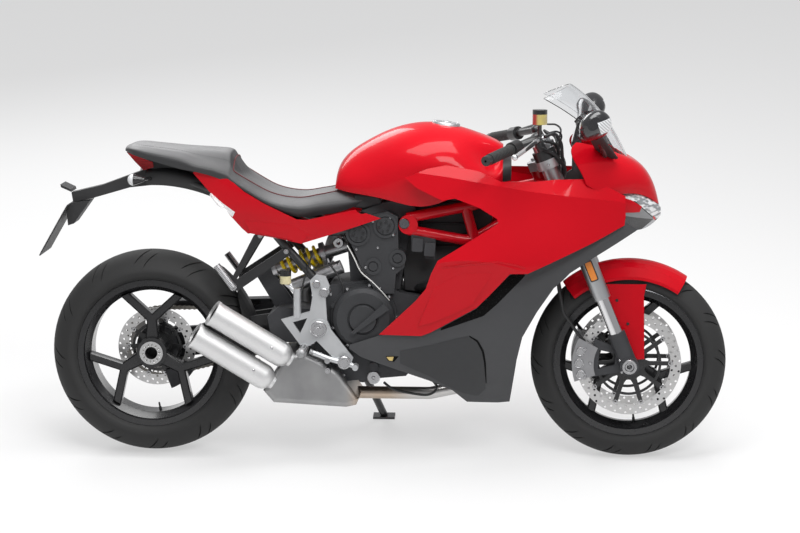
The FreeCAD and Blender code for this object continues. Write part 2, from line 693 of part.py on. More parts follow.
def clamp_plate(foot, height):
    """A yoke: two leg rings joined to the boss on the steering axis."""
    ring = OUTER_TUBE_RADIUS + CLAMP_WALL
    half = HALF_LEGS
    points = [V(FORK_OFFSET + ring / 2, half, foot), V(FORK_OFFSET - ring / 2, half, foot),
              V(-STEM_BOSS_RADIUS, STEM_BOSS_RADIUS / 2, foot),
              V(-STEM_BOSS_RADIUS, -STEM_BOSS_RADIUS / 2, foot),
              V(FORK_OFFSET - ring / 2, -half, foot), V(FORK_OFFSET + ring / 2, -half, foot)]
    plate = Part.Face(Part.makePolygon(points + points[:1])).extrude(V(0, 0, height))
    rings = [Part.makeCylinder(ring, height, V(FORK_OFFSET, side * half, foot)) for side in (-1, 1)]
    boss = Part.makeCylinder(STEM_BOSS_RADIUS, height, V(0, 0, foot))
    legs = [Part.makeCylinder(OUTER_TUBE_RADIUS, height, V(FORK_OFFSET, side * half, foot))
            for side in (-1, 1)]
    return joined([plate, boss] + rings).cut(legs[0]).cut(legs[1])


@once
def triple_clamps():
    lower = clamp_plate(LOWER_CLAMP_FOOT, LOWER_CLAMP_HEIGHT)
    upper = clamp_plate(UPPER_CLAMP_FOOT, UPPER_CLAMP_HEIGHT)
    stem_top = UPPER_CLAMP_FOOT + UPPER_CLAMP_HEIGHT
    stem = Part.makeCylinder(STEM_RADIUS, stem_top - LOWER_CLAMP_FOOT, V(0, 0, LOWER_CLAMP_FOOT))
    nut = Part.makeCylinder(STEM_NUT_RADIUS, STEM_NUT_HEIGHT, V(0, 0, stem_top))
    bore = Part.makeCylinder(STEM_BORE_RADIUS, stem_top, V(0, 0, LOWER_CLAMP_FOOT))
    return raked(joined([lower, upper, stem, nut]).cut(bore))


def bar_line():
    root = at(BAR_ROOT_SHARES)
    end = at(BAR_END_SHARES)
    return root, end, (end - root).normalize()


@once
def handlebars():
    root, end, out = bar_line()
    grip_root = end - out * GRIP_LENGTH
    tube = rod(root, end, BAR_RADIUS)
    switch = rod(grip_root - out * SWITCH_LENGTH, grip_root - out * SEAT_CLEARANCE, SWITCH_RADIUS)
    foot = UPPER_CLAMP_FOOT + UPPER_CLAMP_HEIGHT
    ring = leg_rod(foot, foot + BAR_RING_HEIGHT, OUTER_TUBE_RADIUS + BAR_RING_WALL)
    ring.Placement = STEERING_PLACE
    socket = leg_rod(foot, OUTER_TUBE_TOP, OUTER_TUBE_RADIUS)
    socket.Placement = STEERING_PLACE
    ring_top = STEERING_PLACE.multVec(V(FORK_OFFSET, HALF_LEGS + OUTER_TUBE_RADIUS + BAR_RING_WALL,
                                        foot + BAR_RING_HEIGHT))
    riser = rod(ring_top, root, BAR_RADIUS + BAR_RING_WALL / 2)
    knuckle = Part.makeSphere(BAR_RADIUS + BAR_RING_WALL / 2 + KNUCKLE_SWELL, root)
    pivot = at(LEVER_PIVOT_SHARES)
    perch = rod(grip_root - out * SWITCH_LENGTH, pivot, PERCH_RADIUS)
    lever = pipe([pivot, at(LEVER_BEND_SHARES), at(LEVER_TIP_SHARES)], LEVER_RADIUS, GRIP_LENGTH)
    ball = Part.makeSphere(LEVER_BALL_RADIUS, at(LEVER_TIP_SHARES))
    weight = rod(end, end + out * BAR_WEIGHT_LENGTH, BAR_WEIGHT_RADIUS)
    thread = rod(end + out * (BAR_WEIGHT_LENGTH - BAR_THREAD_DEPTH), end + out * BAR_WEIGHT_LENGTH,
                 BAR_THREAD_RADIUS)
    side = tube
    for piece in (switch, ring.cut(socket), riser.cut(socket), knuckle, perch, lever, ball, weight.cut(thread)):
        side = side.fuse(piece)
    cup = at(CUP_SHARES)
    stalk = rod(pivot, cup, CUP_STALK_RADIUS)
    body = Part.makeCylinder(CUP_RADIUS, CUP_HEIGHT, cup)
    right = mirrored(side.fuse(stalk).fuse(body))
    return Part.makeCompound([side, right])


def grips():
    root, end, out = bar_line()
    grip_root = end - out * GRIP_LENGTH
    solid = rod(grip_root, end, GRIP_RADIUS).cut(rod(grip_root, end, BAR_RADIUS))
    return pair(solid)


def sector(centre, inner, outer, near, far, start, span):
    return spun([(near, inner), (far, inner), (far, outer), (near, outer)], centre, span, start)


@once
def front_calipers():
    """Calipers that straddle the discs behind the fork legs."""
    block = sector(FRONT_AXLE, CALIPER_INNER_RADIUS, CALIPER_OUTER_RADIUS,
                   FRONT_DISC_OFFSET - CALIPER_INNER_DEPTH, FRONT_DISC_OFFSET + CALIPER_OUTER_DEPTH,
                   CALIPER_START_ANGLE, CALIPER_SPAN_ANGLE)
    gap = DISC_THICKNESS / 2 + MOVING_CLEARANCE
    slot = cross_rod(FRONT_AXLE.x, FRONT_AXLE.z, FRONT_DISC_OFFSET - gap, FRONT_DISC_OFFSET + gap,
                     FRONT_DISC_RADIUS + MOVING_CLEARANCE)
    return pair(block.cut(slot))


DOME_STEPS = 8
FENDER_GAP = 13.0
FENDER_START_ANGLE = 56.0
FENDER_SPAN_ANGLE = 74.0
FENDER_SIDE_GAP = 12.0
FENDER_HALF_WIDTH = FRONT_TYRE_WIDTH / 2 + FENDER_SIDE_GAP
FENDER_STAY_SHARES = ((-0.2833, 0.8167), (0.1667, 0.8167), (0.1433, 0.7), (0.1567, 0.0467), (0.0667, 0.04),
                      (-0.05, 0.0833), (-0.1333, 0.2833), (-0.26, 0.6))
FENDER_BOLT_SHARES = ((-0.0867, 0.2867), (-0.0133, 0.14))
FENDER_BOLT_RADIUS = 7.0


def shell_profile(radius, half, crown_radius, wall):
    """Points of a domed guard's cross-section, as Y and radius."""
    points = []
    for shell_radius, crown_now in ((radius + wall, crown_radius + wall), (radius, crown_radius)):
        arc = []
        for i in range(DOME_STEPS + 1):
            y = half * (2 * i / DOME_STEPS - 1)
            y = max(-half, min(half, y))
            arc.append((y, shell_radius - crown_now + math.sqrt(crown_now ** 2 - y ** 2)))
        points.append(arc)
    return points[0] + list(reversed(points[1]))


def front_fender():
    inner = FRONT_TYRE_RADIUS + FENDER_GAP
    dome = spun(shell_profile(inner, FENDER_HALF_WIDTH, FENDER_HALF_WIDTH + PANEL_WALL, PANEL_WALL),
                FRONT_AXLE, FENDER_SPAN_ANGLE, FENDER_START_ANGLE)
    near = FENDER_HALF_WIDTH - PANEL_WALL
    stay = prism_about(FRONT_AXLE, FRONT_TYRE_RADIUS, FENDER_STAY_SHARES, near, FENDER_HALF_WIDTH)
    stay = stay.common(cross_rod(FRONT_AXLE.x, FRONT_AXLE.z, 0, FENDER_HALF_WIDTH, inner))
    bolts = [cross_rod(FRONT_AXLE.x + FRONT_TYRE_RADIUS * x, FRONT_AXLE.z + FRONT_TYRE_RADIUS * z, near,
                       HALF_LEGS, FENDER_BOLT_RADIUS) for x, z in FENDER_BOLT_SHARES]
    side = joined([stay] + bolts)
    return joined([dome, side, mirrored(side)]).cut(fork_bottoms()).cut(fork_tubes())


# Frame and engine
TUBE_RADIUS = 16.0
SUBTUBE_RADIUS = 13.0
TRELLIS_BENDS = 60.0
UPPER_TUBE_SHARES = ((0.792, 0.130, 0.750), (0.987, 0.130, 0.789), (1.215, 0.030, 0.848))
LOWER_TUBE_SHARES = ((0.797, 0.130, 0.713), (0.983, 0.130, 0.682), (1.228, 0.030, 0.812))
BRACE_TUBE_SHARES = ((0.969, 0.130, 0.785), (0.997, 0.130, 0.687))
FRAME_LUG_SHARES = (0.797, 0.731)
FRAME_LUG_RADIUS = 29.0
FRAME_LUG_DEPTH = 40.0
FRAME_LUG_STAND = 3.0
FRAME_HALF_SHARE = 0.130


@once
def main_frame():
    foot = LOWER_CLAMP_FOOT + LOWER_CLAMP_HEIGHT + HEADSTOCK_GAP
    headstock = Part.makeCylinder(HEADSTOCK_RADIUS, UPPER_CLAMP_FOOT - HEADSTOCK_GAP - foot, V(0, 0, foot))
    bore = Part.makeCylinder(STEM_RADIUS + RUNNING_CLEARANCE, OUTER_TUBE_TOP, V(0, 0, 0))
    tubes = []
    for shares in (UPPER_TUBE_SHARES, LOWER_TUBE_SHARES, BRACE_TUBE_SHARES):
        points = [at(point) for point in shares]
        tubes.append(pipe(points, TUBE_RADIUS, TRELLIS_BENDS))
    x, z = flat(FRAME_LUG_SHARES)
    half = BREADTH * FRAME_HALF_SHARE
    lug = cross_rod(x, z, half - FRAME_LUG_DEPTH, half + TUBE_RADIUS + FRAME_LUG_STAND, FRAME_LUG_RADIUS)
    side = joined(tubes + [lug])
    whole = joined([raked(headstock), side, mirrored(side)])
    return whole.cut(raked(bore))


CRANKCASE_SHARES = ((0.505, 0.470), (0.560, 0.540), (0.690, 0.560), (0.770, 0.520), (0.850, 0.505),
                    (0.850, 0.330), (0.790, 0.262), (0.590, 0.242), (0.520, 0.300), (0.505, 0.380))
REAR_CYLINDER_SHARES = ((0.620, 0.545), (0.605, 0.700), (0.640, 0.745), (0.770, 0.770), (0.800, 0.720),
                        (0.770, 0.525))
FRONT_CYLINDER_SHARES = ((0.840, 0.500), (1.000, 0.520), (1.060, 0.530), (1.085, 0.400), (1.060, 0.345),
                         (1.000, 0.345), (0.840, 0.350))
CYLINDER_STEP = 25.0
CYLINDER_HALF = CASE_HALF - CYLINDER_STEP
CLUTCH_SHARES = (0.662, 0.445)
CLUTCH_RADIUS = 96.0
CLUTCH_FLANGE = 6.0
CLUTCH_FLANGE_DEPTH = 12.0
CLUTCH_DEPTH = 55.0
CLUTCH_BEVEL = 16.0
CLUTCH_CAP_RADIUS = 44.0
CLUTCH_CAP_DEPTH = 8.0
CLUTCH_GROOVE = 4.0
CLUTCH_BOLT_COUNT = 9
CLUTCH_BOLT_RADIUS = 8.0
LEVER_ARM_SHARES = ((0.628, 0.408), (0.634, 0.400), (0.742, 0.478), (0.726, 0.496))
LEVER_ARM_DEPTH = 10.0
ALTERNATOR_SHARES = (0.720, 0.430)
ALTERNATOR_RADIUS = 88.0
ALTERNATOR_DEPTH = 38.0
BELT_COVER_SHARES = ((0.700, 0.520), (0.650, 0.610), (0.612, 0.700), (0.615, 0.725), (0.645, 0.745),
                     (0.700, 0.762), (0.735, 0.770), (0.765, 0.755), (0.768, 0.640), (0.790, 0.625),
                     (0.785, 0.600), (0.760, 0.580), (0.755, 0.520))
BELT_COVER_GAP = 1.0
BELT_COVER_STAND = 26.0
BELT_COVER_NEAR = CYLINDER_HALF + BELT_COVER_GAP
BELT_COVER_FAR = CASE_HALF + BELT_COVER_STAND
CAM_SHARES = ((0.645, 0.703), (0.728, 0.727))
CAM_COVER_RADIUS = 37.0
CAM_DISC_RADIUS = 29.0
CAM_GROOVE = 3.0
IDLER_SHARES = ((0.691, 0.603), (0.765, 0.629))
IDLER_COVER_RADIUS = 26.0
IDLER_DISC_RADIUS = 16.0
DISC_STAND = 4.0
RELAY_SHARES = ((0.806, 0.700), (0.880, 0.696), (0.879, 0.625), (0.848, 0.627), (0.848, 0.650),
                (0.806, 0.652))
RELAY_SINK = 8.0
RELAY_STAND = 22.0
SUMP_BOLT_SHARES = (0.692, 0.290)
SUMP_BOLT_RADIUS = 14.0
SUMP_BOLT_DEPTH = 8.0


@once
def engine_block():
    """Crankcase and both cylinders as one closed mass, with the stand's lug under its left side."""
    case = prism(CRANKCASE_SHARES, -CASE_HALF, CASE_HALF)
    rear = prism(REAR_CYLINDER_SHARES, -CYLINDER_HALF, CYLINDER_HALF)
    front = prism(FRONT_CYLINDER_SHARES, -CYLINDER_HALF, CYLINDER_HALF)
    x, z = flat(SUMP_BOLT_SHARES)
    bolt = cross_rod(x, z, -CASE_HALF - SUMP_BOLT_DEPTH, -CASE_HALF, SUMP_BOLT_RADIUS)
    return joined([case, rear, front, bolt] + stand_lug()).cut(main_frame())


def clutch_cover():
    """A turned housing with a flange, a bevelled edge, a grooved cap, bolt lugs and the release arm."""
    x, z = flat(CLUTCH_SHARES)
    face = -CASE_HALF - CLUTCH_DEPTH
    cap_face = face - CLUTCH_CAP_DEPTH
    flange = -CASE_HALF - CLUTCH_FLANGE_DEPTH
    centre = V(x, 0, z)
    housing = spun([(-CASE_HALF, 0), (-CASE_HALF, CLUTCH_RADIUS + CLUTCH_FLANGE),
                    (flange, CLUTCH_RADIUS + CLUTCH_FLANGE), (flange, CLUTCH_RADIUS),
                    (face + CLUTCH_BEVEL, CLUTCH_RADIUS - CLUTCH_GROOVE),
                    (face, CLUTCH_RADIUS - CLUTCH_BEVEL), (face, CLUTCH_CAP_RADIUS + CLUTCH_GROOVE),
                    (face + CLUTCH_GROOVE, CLUTCH_CAP_RADIUS + CLUTCH_GROOVE),
                    (face + CLUTCH_GROOVE, CLUTCH_CAP_RADIUS), (cap_face, CLUTCH_CAP_RADIUS - CLUTCH_GROOVE),
                    (cap_face, 0)], centre)
    lugs = []
    for i in range(CLUTCH_BOLT_COUNT):
        angle = 2 * math.pi * i / CLUTCH_BOLT_COUNT
        lugs.append(cross_rod(x + (CLUTCH_RADIUS + CLUTCH_GROOVE) * math.cos(angle),
                              z + (CLUTCH_RADIUS + CLUTCH_GROOVE) * math.sin(angle),
                              flange - CLUTCH_GROOVE, -CASE_HALF, CLUTCH_BOLT_RADIUS))
    arm = prism(LEVER_ARM_SHARES, cap_face - LEVER_ARM_DEPTH, face)
    return joined([housing, arm] + lugs)


def belt_cover():
    """The cam belts' cover, with a grooved disc over each cam and each idler."""
    plate = prism(BELT_COVER_SHARES, -BELT_COVER_FAR, -BELT_COVER_NEAR)
    rounds = []
    grooves = []
    for centres, cover_radius, disc_radius in ((CAM_SHARES, CAM_COVER_RADIUS, CAM_DISC_RADIUS),
                                               (IDLER_SHARES, IDLER_COVER_RADIUS, IDLER_DISC_RADIUS)):
        for x, z in [flat(spot) for spot in centres]:
            rounds.append(cross_rod(x, z, -BELT_COVER_FAR - DISC_STAND, -BELT_COVER_NEAR, cover_radius))
            ring = cross_rod(x, z, -BELT_COVER_FAR - 2 * DISC_STAND, -BELT_COVER_FAR, disc_radius).cut(
                cross_rod(x, z, -BELT_COVER_FAR - 2 * DISC_STAND, -BELT_COVER_FAR, disc_radius - CAM_GROOVE))
            grooves.append(ring)
    whole = joined([plate] + rounds)
    for groove in grooves:
        whole = whole.cut(groove)
    return whole


def engine_covers():
    clutch = clutch_cover()
    x, z = flat(ALTERNATOR_SHARES)
    alternator = spun([(CASE_HALF, 0), (CASE_HALF, ALTERNATOR_RADIUS),
                       (CASE_HALF + ALTERNATOR_DEPTH - CLUTCH_BEVEL, ALTERNATOR_RADIUS),
                       (CASE_HALF + ALTERNATOR_DEPTH, ALTERNATOR_RADIUS - CLUTCH_BEVEL),
                       (CASE_HALF + ALTERNATOR_DEPTH, 0)], V(x, 0, z))
    relays = prism(RELAY_SHARES, -CASE_HALF - RELAY_STAND, RELAY_SINK - CASE_HALF).cut(main_frame())
    belt = belt_cover().cut(engine_block()).cut(clutch).cut(rear_subframe()).cut(relays).cut(main_frame())
    return Part.makeCompound([clutch, alternator, belt, relays])


PIVOT_SHARES = (0.527, 0.414)
ARM_SHARES = ((0.560, 0.455), (0.470, 0.470), (0.330, 0.450), (0.120, 0.372), (0.040, 0.365),
              (0.040, 0.270), (0.200, 0.290), (0.380, 0.340), (0.480, 0.370), (0.560, 0.375))
BRIDGE_SHARES = ((0.500, 0.465), (0.400, 0.470), (0.365, 0.440), (0.380, 0.360), (0.500, 0.365))
PIVOT_RADIUS = 34.0
PIVOT_BOLT_RADIUS = 8.0
ARM_END_GAP = 2.0
SHOCK_EAR_SHARES = ((0.385, 0.452), (0.322, 0.556), (0.332, 0.580), (0.362, 0.584), (0.448, 0.462))
SHOCK_EAR_THICKNESS = 11.0
GUARD_SHARES = ((0.050, 0.448), (0.400, 0.460), (0.400, 0.464), (0.050, 0.452))
GUARD_LIP_SHARES = ((0.020, 0.436), (0.060, 0.424), (0.400, 0.436), (0.400, 0.464), (0.050, 0.452))
GUARD_TAB_SHARES = ((0.320, 0.440), (0.350, 0.440), (0.350, 0.461), (0.320, 0.460))
GUARD_STAND = 17.0
GUARD_OUTSIDE = CHAIN_LINE + GUARD_STAND
REAR_CALIPER_INNER = 80.0
REAR_CALIPER_WALL = 16.0
REAR_CALIPER_HALF = 22.0
REAR_CALIPER_START_ANGLE = 290.0
REAR_CALIPER_SPAN_ANGLE = 38.0


@once
def swingarm():
    arm = prism(ARM_SHARES, ARM_INSIDE, ARM_OUTSIDE)
    bridge = prism(BRIDGE_SHARES, ARM_END_GAP - CASE_HALF, ARM_OUTSIDE)
    carrier = cross_rod(REAR_AXLE.x, REAR_AXLE.z, CARRIER_INSIDE, ARM_OUTSIDE, CARRIER_RADIUS)
    bore = cross_rod(REAR_AXLE.x, REAR_AXLE.z, CARRIER_INSIDE, ARM_OUTSIDE,
                     REAR_AXLE_RADIUS + RUNNING_CLEARANCE)
    rear, front, line = shock_line()
    low = rear + line * (SPRING_START_SHARE - (SHOCK_CUP_HEIGHT + SEAT_CLEARANCE) / line.Length)
    near = SHOCK_RADIUS + SEAT_CLEARANCE
    ear = prism(SHOCK_EAR_SHARES, near, near + SHOCK_EAR_THICKNESS).cut(
        rod(low, front, SHOCK_CUP_RADIUS + SEAT_CLEARANCE))
    guard = [prism(GUARD_SHARES, ARM_INSIDE, GUARD_OUTSIDE),
             prism(GUARD_LIP_SHARES, GUARD_OUTSIDE - PANEL_WALL, GUARD_OUTSIDE),
             prism(GUARD_TAB_SHARES, ARM_INSIDE, ARM_OUTSIDE)]
    body = joined([arm, bridge, carrier, ear, mirrored(ear)] + guard).cut(bore).cut(engine_block())
    return Part.makeCompound([body, rear_caliper()])


def rear_caliper():
    """The small caliper that straddles the rear disc under the axle."""
    block = sector(REAR_AXLE, REAR_CALIPER_INNER, REAR_DISC_RADIUS + REAR_CALIPER_WALL,
                   REAR_DISC_OFFSET - REAR_CALIPER_HALF, CARRIER_INSIDE + REAR_CALIPER_HALF,
                   REAR_CALIPER_START_ANGLE, REAR_CALIPER_SPAN_ANGLE)
    gap = DISC_THICKNESS / 2 + MOVING_CLEARANCE
    slot = cross_rod(REAR_AXLE.x, REAR_AXLE.z, REAR_DISC_OFFSET - gap, REAR_DISC_OFFSET + gap,
                     REAR_DISC_RADIUS + MOVING_CLEARANCE)
    lug = sector(REAR_AXLE, CARRIER_RADIUS, REAR_CALIPER_INNER, CARRIER_INSIDE,
                 CARRIER_INSIDE + REAR_CALIPER_HALF, REAR_CALIPER_START_ANGLE, REAR_CALIPER_SPAN_ANGLE)
    return joined([block.cut(slot), lug])


HUGGER_GAP = 20.0
HUGGER_SIDE_GAP = 3.0
HUGGER_HALF = REAR_TYRE_WIDTH / 2 + HUGGER_SIDE_GAP
HUGGER_DOME_SHARE = 1.2366
HUGGER_START_ANGLE = 13.0
HUGGER_SPAN_ANGLE = 49.0
HUGGER_TAB_REAR_SHARES = ((0.9968, 0.2698), (0.9683, 0.3651))
HUGGER_TAB_FRONT_SHARES = ((0.400, 0.445), (0.400, 0.405))
HUGGER_TAB_NEAR = 40.0
HUGGER_TAB_FAR = 58.0
HUGGER_TRIM_SHARES = ((0.4762, 1.0698), (1.0159, 0.9683), (1.3333, 0.7778), (1.3968, 0.2063),
                      (0.9524, 0.1746), (0.8317, 0.6508), (0.6508, 0.8571))


def hugger():
    inner = REAR_TYRE_RADIUS + HUGGER_GAP
    dome = spun(shell_profile(inner, HUGGER_HALF, HUGGER_HALF * HUGGER_DOME_SHARE, PANEL_WALL), REAR_AXLE,
                HUGGER_SPAN_ANGLE, HUGGER_START_ANGLE)
    dome = dome.common(prism_about(REAR_AXLE, REAR_TYRE_RADIUS, HUGGER_TRIM_SHARES, -REAR_TYRE_WIDTH,
                                   REAR_TYRE_WIDTH))
    rear = [(REAR_AXLE.x + REAR_TYRE_RADIUS * x, REAR_AXLE.z + REAR_TYRE_RADIUS * z)
            for x, z in HUGGER_TAB_REAR_SHARES]
    tab = slab(rear + [flat(spot) for spot in HUGGER_TAB_FRONT_SHARES], HUGGER_TAB_NEAR, HUGGER_TAB_FAR)
    return joined([dome, tab, mirrored(tab)]).cut(swingarm())


# Rear subframe, shock and brackets
SUBFRAME_UPPER_SHARES = ((0.640, 0.100, 0.712), (0.560, 0.100, 0.700), (0.420, 0.100, 0.745),
                         (0.130, 0.070, 0.845))
SUBFRAME_LOWER_SHARES = ((0.570, 0.100, 0.490), (0.425, 0.100, 0.650), (0.322, 0.090, 0.770))
SUBFRAME_CROSS_SHARES = ((0.300, 0.788), (0.430, 0.742))


@once
def rear_subframe():
    rails = [pipe([at(point) for point in shares], SUBTUBE_RADIUS, TRELLIS_BENDS)
             for shares in (SUBFRAME_UPPER_SHARES, SUBFRAME_LOWER_SHARES)]
    crosses = [cross_rod(*flat(spot), -CYLINDER_HALF, CYLINDER_HALF, SUBTUBE_RADIUS)
               for spot in SUBFRAME_CROSS_SHARES]
    side = joined(rails)
    return joined([side, mirrored(side)] + crosses).cut(engine_block())


SHOCK_REAR_SHARES = (0.345, 0.0, 0.560)
SHOCK_FRONT_SHARES = (0.630, 0.0, 0.656)
SHOCK_RADIUS = 20.0
SHOCK_CUP_RADIUS = 34.0
SHOCK_CUP_HEIGHT = 14.0
SPRING_RADIUS = 27.5
SPRING_WIRE = 5.5
SPRING_TURNS = 6
SPRING_END_GAP = 1.2
SPRING_START_SHARE = 0.14
SPRING_END_SHARE = 0.62
RESERVOIR_SHARES = ((0.440, 0.060, 0.528), (0.590, 0.060, 0.590))
RESERVOIR_RADIUS = 21.0
RESERVOIR_NECK_SHARE = 0.68


def shock_line():
    rear = at(SHOCK_REAR_SHARES)
    front = at(SHOCK_FRONT_SHARES)
    return rear, front, (front - rear)


@once
def shock_absorber():
    rear, front, line = shock_line()
    body = rod(rear, front, SHOCK_RADIUS)
    along = FreeCAD.Vector(line).normalize()
    low = rear + line * SPRING_START_SHARE
    high = rear + line * SPRING_END_SHARE
    cups = [rod(low - along * SHOCK_CUP_HEIGHT, low, SHOCK_CUP_RADIUS),
            rod(high, high + along * SHOCK_CUP_HEIGHT, SHOCK_CUP_RADIUS)]
    eye = cross_rod(rear.x, rear.z, -SHOCK_RADIUS, SHOCK_RADIUS, SHOCK_RADIUS)
    tank_start = at(RESERVOIR_SHARES[0])
    tank_end = at(RESERVOIR_SHARES[1])
    reservoir = mirrored(rod(tank_start, tank_end, RESERVOIR_RADIUS))
    neck = mirrored(rod(high + along * SHOCK_CUP_HEIGHT / 2,
                        tank_start + (tank_end - tank_start) * RESERVOIR_NECK_SHARE, SHOCK_CUP_HEIGHT / 2))
    solid = body.fuse([eye, reservoir, neck] + cups)
    return solid.cut(engine_block())


def shock_spring():
    rear, front, line = shock_line()
    height = line.Length * (SPRING_END_SHARE - SPRING_START_SHARE) - 2 * (SPRING_WIRE + SPRING_END_GAP)
    pitch = height / SPRING_TURNS
    helix = Part.makeHelix(pitch, height, SPRING_RADIUS)
    start = V(SPRING_RADIUS, 0, 0)
    ring = Part.Wire(Part.Circle(start, V(0, 1, 0), SPRING_WIRE).toShape())
    coil = Part.Wire(helix.Edges).makePipeShell([ring], True, True)
    along = FreeCAD.Vector(line).normalize()
    base = rear + line * SPRING_START_SHARE + along * (SPRING_WIRE + SPRING_END_GAP)
    coil.Placement = FreeCAD.Placement(base, FreeCAD.Rotation(V(0, 0, 1), line))
    return coil


PLATE_THICKNESS = 10.0
PLATE_STAND = 45.0
PLATE_FACE = CASE_HALF + PLATE_STAND
PLATE_UPPER_SHARES = ((0.500, 0.560), (0.520, 0.580), (0.548, 0.575), (0.560, 0.545), (0.548, 0.505),
                      (0.552, 0.440), (0.565, 0.410), (0.632, 0.325), (0.622, 0.298), (0.598, 0.296),
                      (0.520, 0.375), (0.500, 0.360), (0.470, 0.362), (0.412, 0.440), (0.500, 0.466),
                      (0.508, 0.510))
PLATE_HOLE_SHARES = ((0.448, 0.432), (0.492, 0.445), (0.470, 0.398))
PLATE_BOSS_SHARES = ((0.523, 0.553), (0.544, 0.525), (0.609, 0.316))
PLATE_BOSS_RADIUS = 15.0
PIVOT_BOSS_RADIUS = 29.0
PEG_SHARES = (0.482, 0.352)
PEG_RADIUS = 14.0
PEG_LENGTH = 85.0
PEG_TIP_SWELL = 2.0
PEDAL_SHARES = ((0.500, 0.345), (0.558, 0.322), (0.640, 0.300))
PEDAL_HALF = 8.0
PEDAL_TIP_RADIUS = 9.0
PEDAL_TIP_LENGTH = 38.0


def foot_plate(pivot_near):
    """A cast side plate with the pivot's boss, the footrest and the pedal or shift lever."""
    near = CASE_HALF
    plate = prism(PLATE_UPPER_SHARES, PLATE_FACE - PLATE_THICKNESS, PLATE_FACE)
    plate = plate.cut(prism(PLATE_HOLE_SHARES, near, PLATE_FACE + CUT_OVERRUN))
    bosses = [cross_rod(*flat(spot), near, PLATE_FACE + PLATE_THICKNESS / 2, PLATE_BOSS_RADIUS)
              for spot in PLATE_BOSS_SHARES]
    x, z = flat(PIVOT_SHARES)
    pivot = cross_rod(x, z, pivot_near, PLATE_FACE + PLATE_THICKNESS, PIVOT_BOSS_RADIUS).fuse(
        cross_rod(x, z, ARM_OUTSIDE, PLATE_FACE, PIVOT_BOLT_RADIUS))
    x, z = flat(PEG_SHARES)
    peg = cross_rod(x, z, PLATE_FACE - PLATE_THICKNESS, PLATE_FACE + PEG_LENGTH, PEG_RADIUS)
    tip = Part.makeSphere(PEG_RADIUS + PEG_TIP_SWELL, V(x, PLATE_FACE + PEG_LENGTH, z))
    line = [V(LENGTH * x, PLATE_FACE + PLATE_THICKNESS, HEIGHT * z) for x, z in PEDAL_SHARES]
    lever = pipe(line, PEDAL_HALF, TRELLIS_BENDS)
    x, z = flat(PEDAL_SHARES[-1])
    toe = cross_rod(x, z, PLATE_FACE, PLATE_FACE + PEDAL_TIP_LENGTH, PEDAL_TIP_RADIUS)
    return joined([plate, pivot, peg, tip, toe, lever] + bosses)


BRAKE_CYLINDER_SHARES = ((0.461, 0.160, 0.446), (0.461, 0.160, 0.535))
BRAKE_CYLINDER_RADIUS = 12.0
BRAKE_STALK_SHARES = ((0.461, 0.160, 0.520), (0.426, 0.160, 0.550))
BRAKE_CUP_HEIGHT = 42.0
BRAKE_CUP_RADIUS = 17.0


def rider_foot_plates():
    """The left plate stands off, so that the chain runs behind it."""
    cylinder = rod(at(BRAKE_CYLINDER_SHARES[0]), at(BRAKE_CYLINDER_SHARES[1]), BRAKE_CYLINDER_RADIUS)
    stalk = rod(at(BRAKE_STALK_SHARES[0]), at(BRAKE_STALK_SHARES[1]), CUP_STALK_RADIUS)
    cup = Part.makeCylinder(BRAKE_CUP_RADIUS, BRAKE_CUP_HEIGHT, at(BRAKE_STALK_SHARES[1]))
    right = mirrored(joined([foot_plate(CASE_HALF), cylinder, stalk, cup]))
    left = foot_plate(CHAIN_LINE + CHAIN_WIDTH / 2 + MOVING_CLEARANCE)
    return Part.makeCompound([right, left])


PASSENGER_SHARES = ((0.337, 0.700), (0.352, 0.690), (0.272, 0.555), (0.415, 0.650), (0.432, 0.650),
                    (0.436, 0.632), (0.276, 0.520), (0.252, 0.520), (0.250, 0.545), (0.325, 0.690))
PASSENGER_HALF_SHARE = 0.100
PASSENGER_THICKNESS = 8.0
PASSENGER_PEG_SHARES = ((0.262, 0.532), (0.212, 0.600))
PASSENGER_PEG_RADIUS = 11.0


def passenger_brackets():
    near = BREADTH * PASSENGER_HALF_SHARE + SUBTUBE_RADIUS
    far = near + PASSENGER_THICKNESS
    bracket = prism(PASSENGER_SHARES, near, far)
    root, tip = [V(LENGTH * x, far + PASSENGER_PEG_RADIUS, HEIGHT * z) for x, z in PASSENGER_PEG_SHARES]
    peg = rod(root, tip, PASSENGER_PEG_RADIUS)
    pin = cross_rod(root.x, root.z, near, far + PASSENGER_PEG_RADIUS, PASSENGER_PEG_RADIUS)
    return pair(joined([bracket, peg, pin]))


# Exhaust
SILENCER_RADIUS = 39.0
SILENCER_BORE = 30.0
SILENCER_WALL = 3.0
SILENCER_MOUTH_DEPTH = 90.0
UPPER_SILENCER_SHARES = ((0.208, 0.208, 0.466), (0.408, 0.158, 0.334))
LOWER_SILENCER_SHARES = ((0.151, 0.208, 0.397), (0.353, 0.158, 0.264))
NOSE_LENGTH = 40.0
NOSE_SHARE = 0.6
SILENCER_RIM = 2.0
SILENCER_RIM_WIDTH = 9.0
COLLECTOR_SHARES = ((0.482, 0.335), (0.425, 0.330), (0.355, 0.218), (0.387, 0.181), (0.609, 0.169),
                    (0.640, 0.176), (0.648, 0.196), (0.585, 0.280), (0.520, 0.320))
COLLECTOR_HALF_SHARES = (0.165, 0.060)
COLLECTOR_EDGE = 18.0
PIPE_RADIUS = 19.0
PIPE_BENDS = 70.0
FRONT_PIPE_SHARES = ((0.630, -0.030, 0.192), (0.860, -0.030, 0.192), (1.020, -0.020, 0.225),
                     (1.105, 0.0, 0.300), (1.085, 0.0, 0.400), (1.050, 0.0, 0.420))
REAR_PIPE_SHARES = ((0.630, 0.060, 0.690), (0.560, 0.060, 0.680), (0.535, 0.060, 0.600),
                    (0.470, 0.040, 0.500), (0.455, 0.020, 0.300))


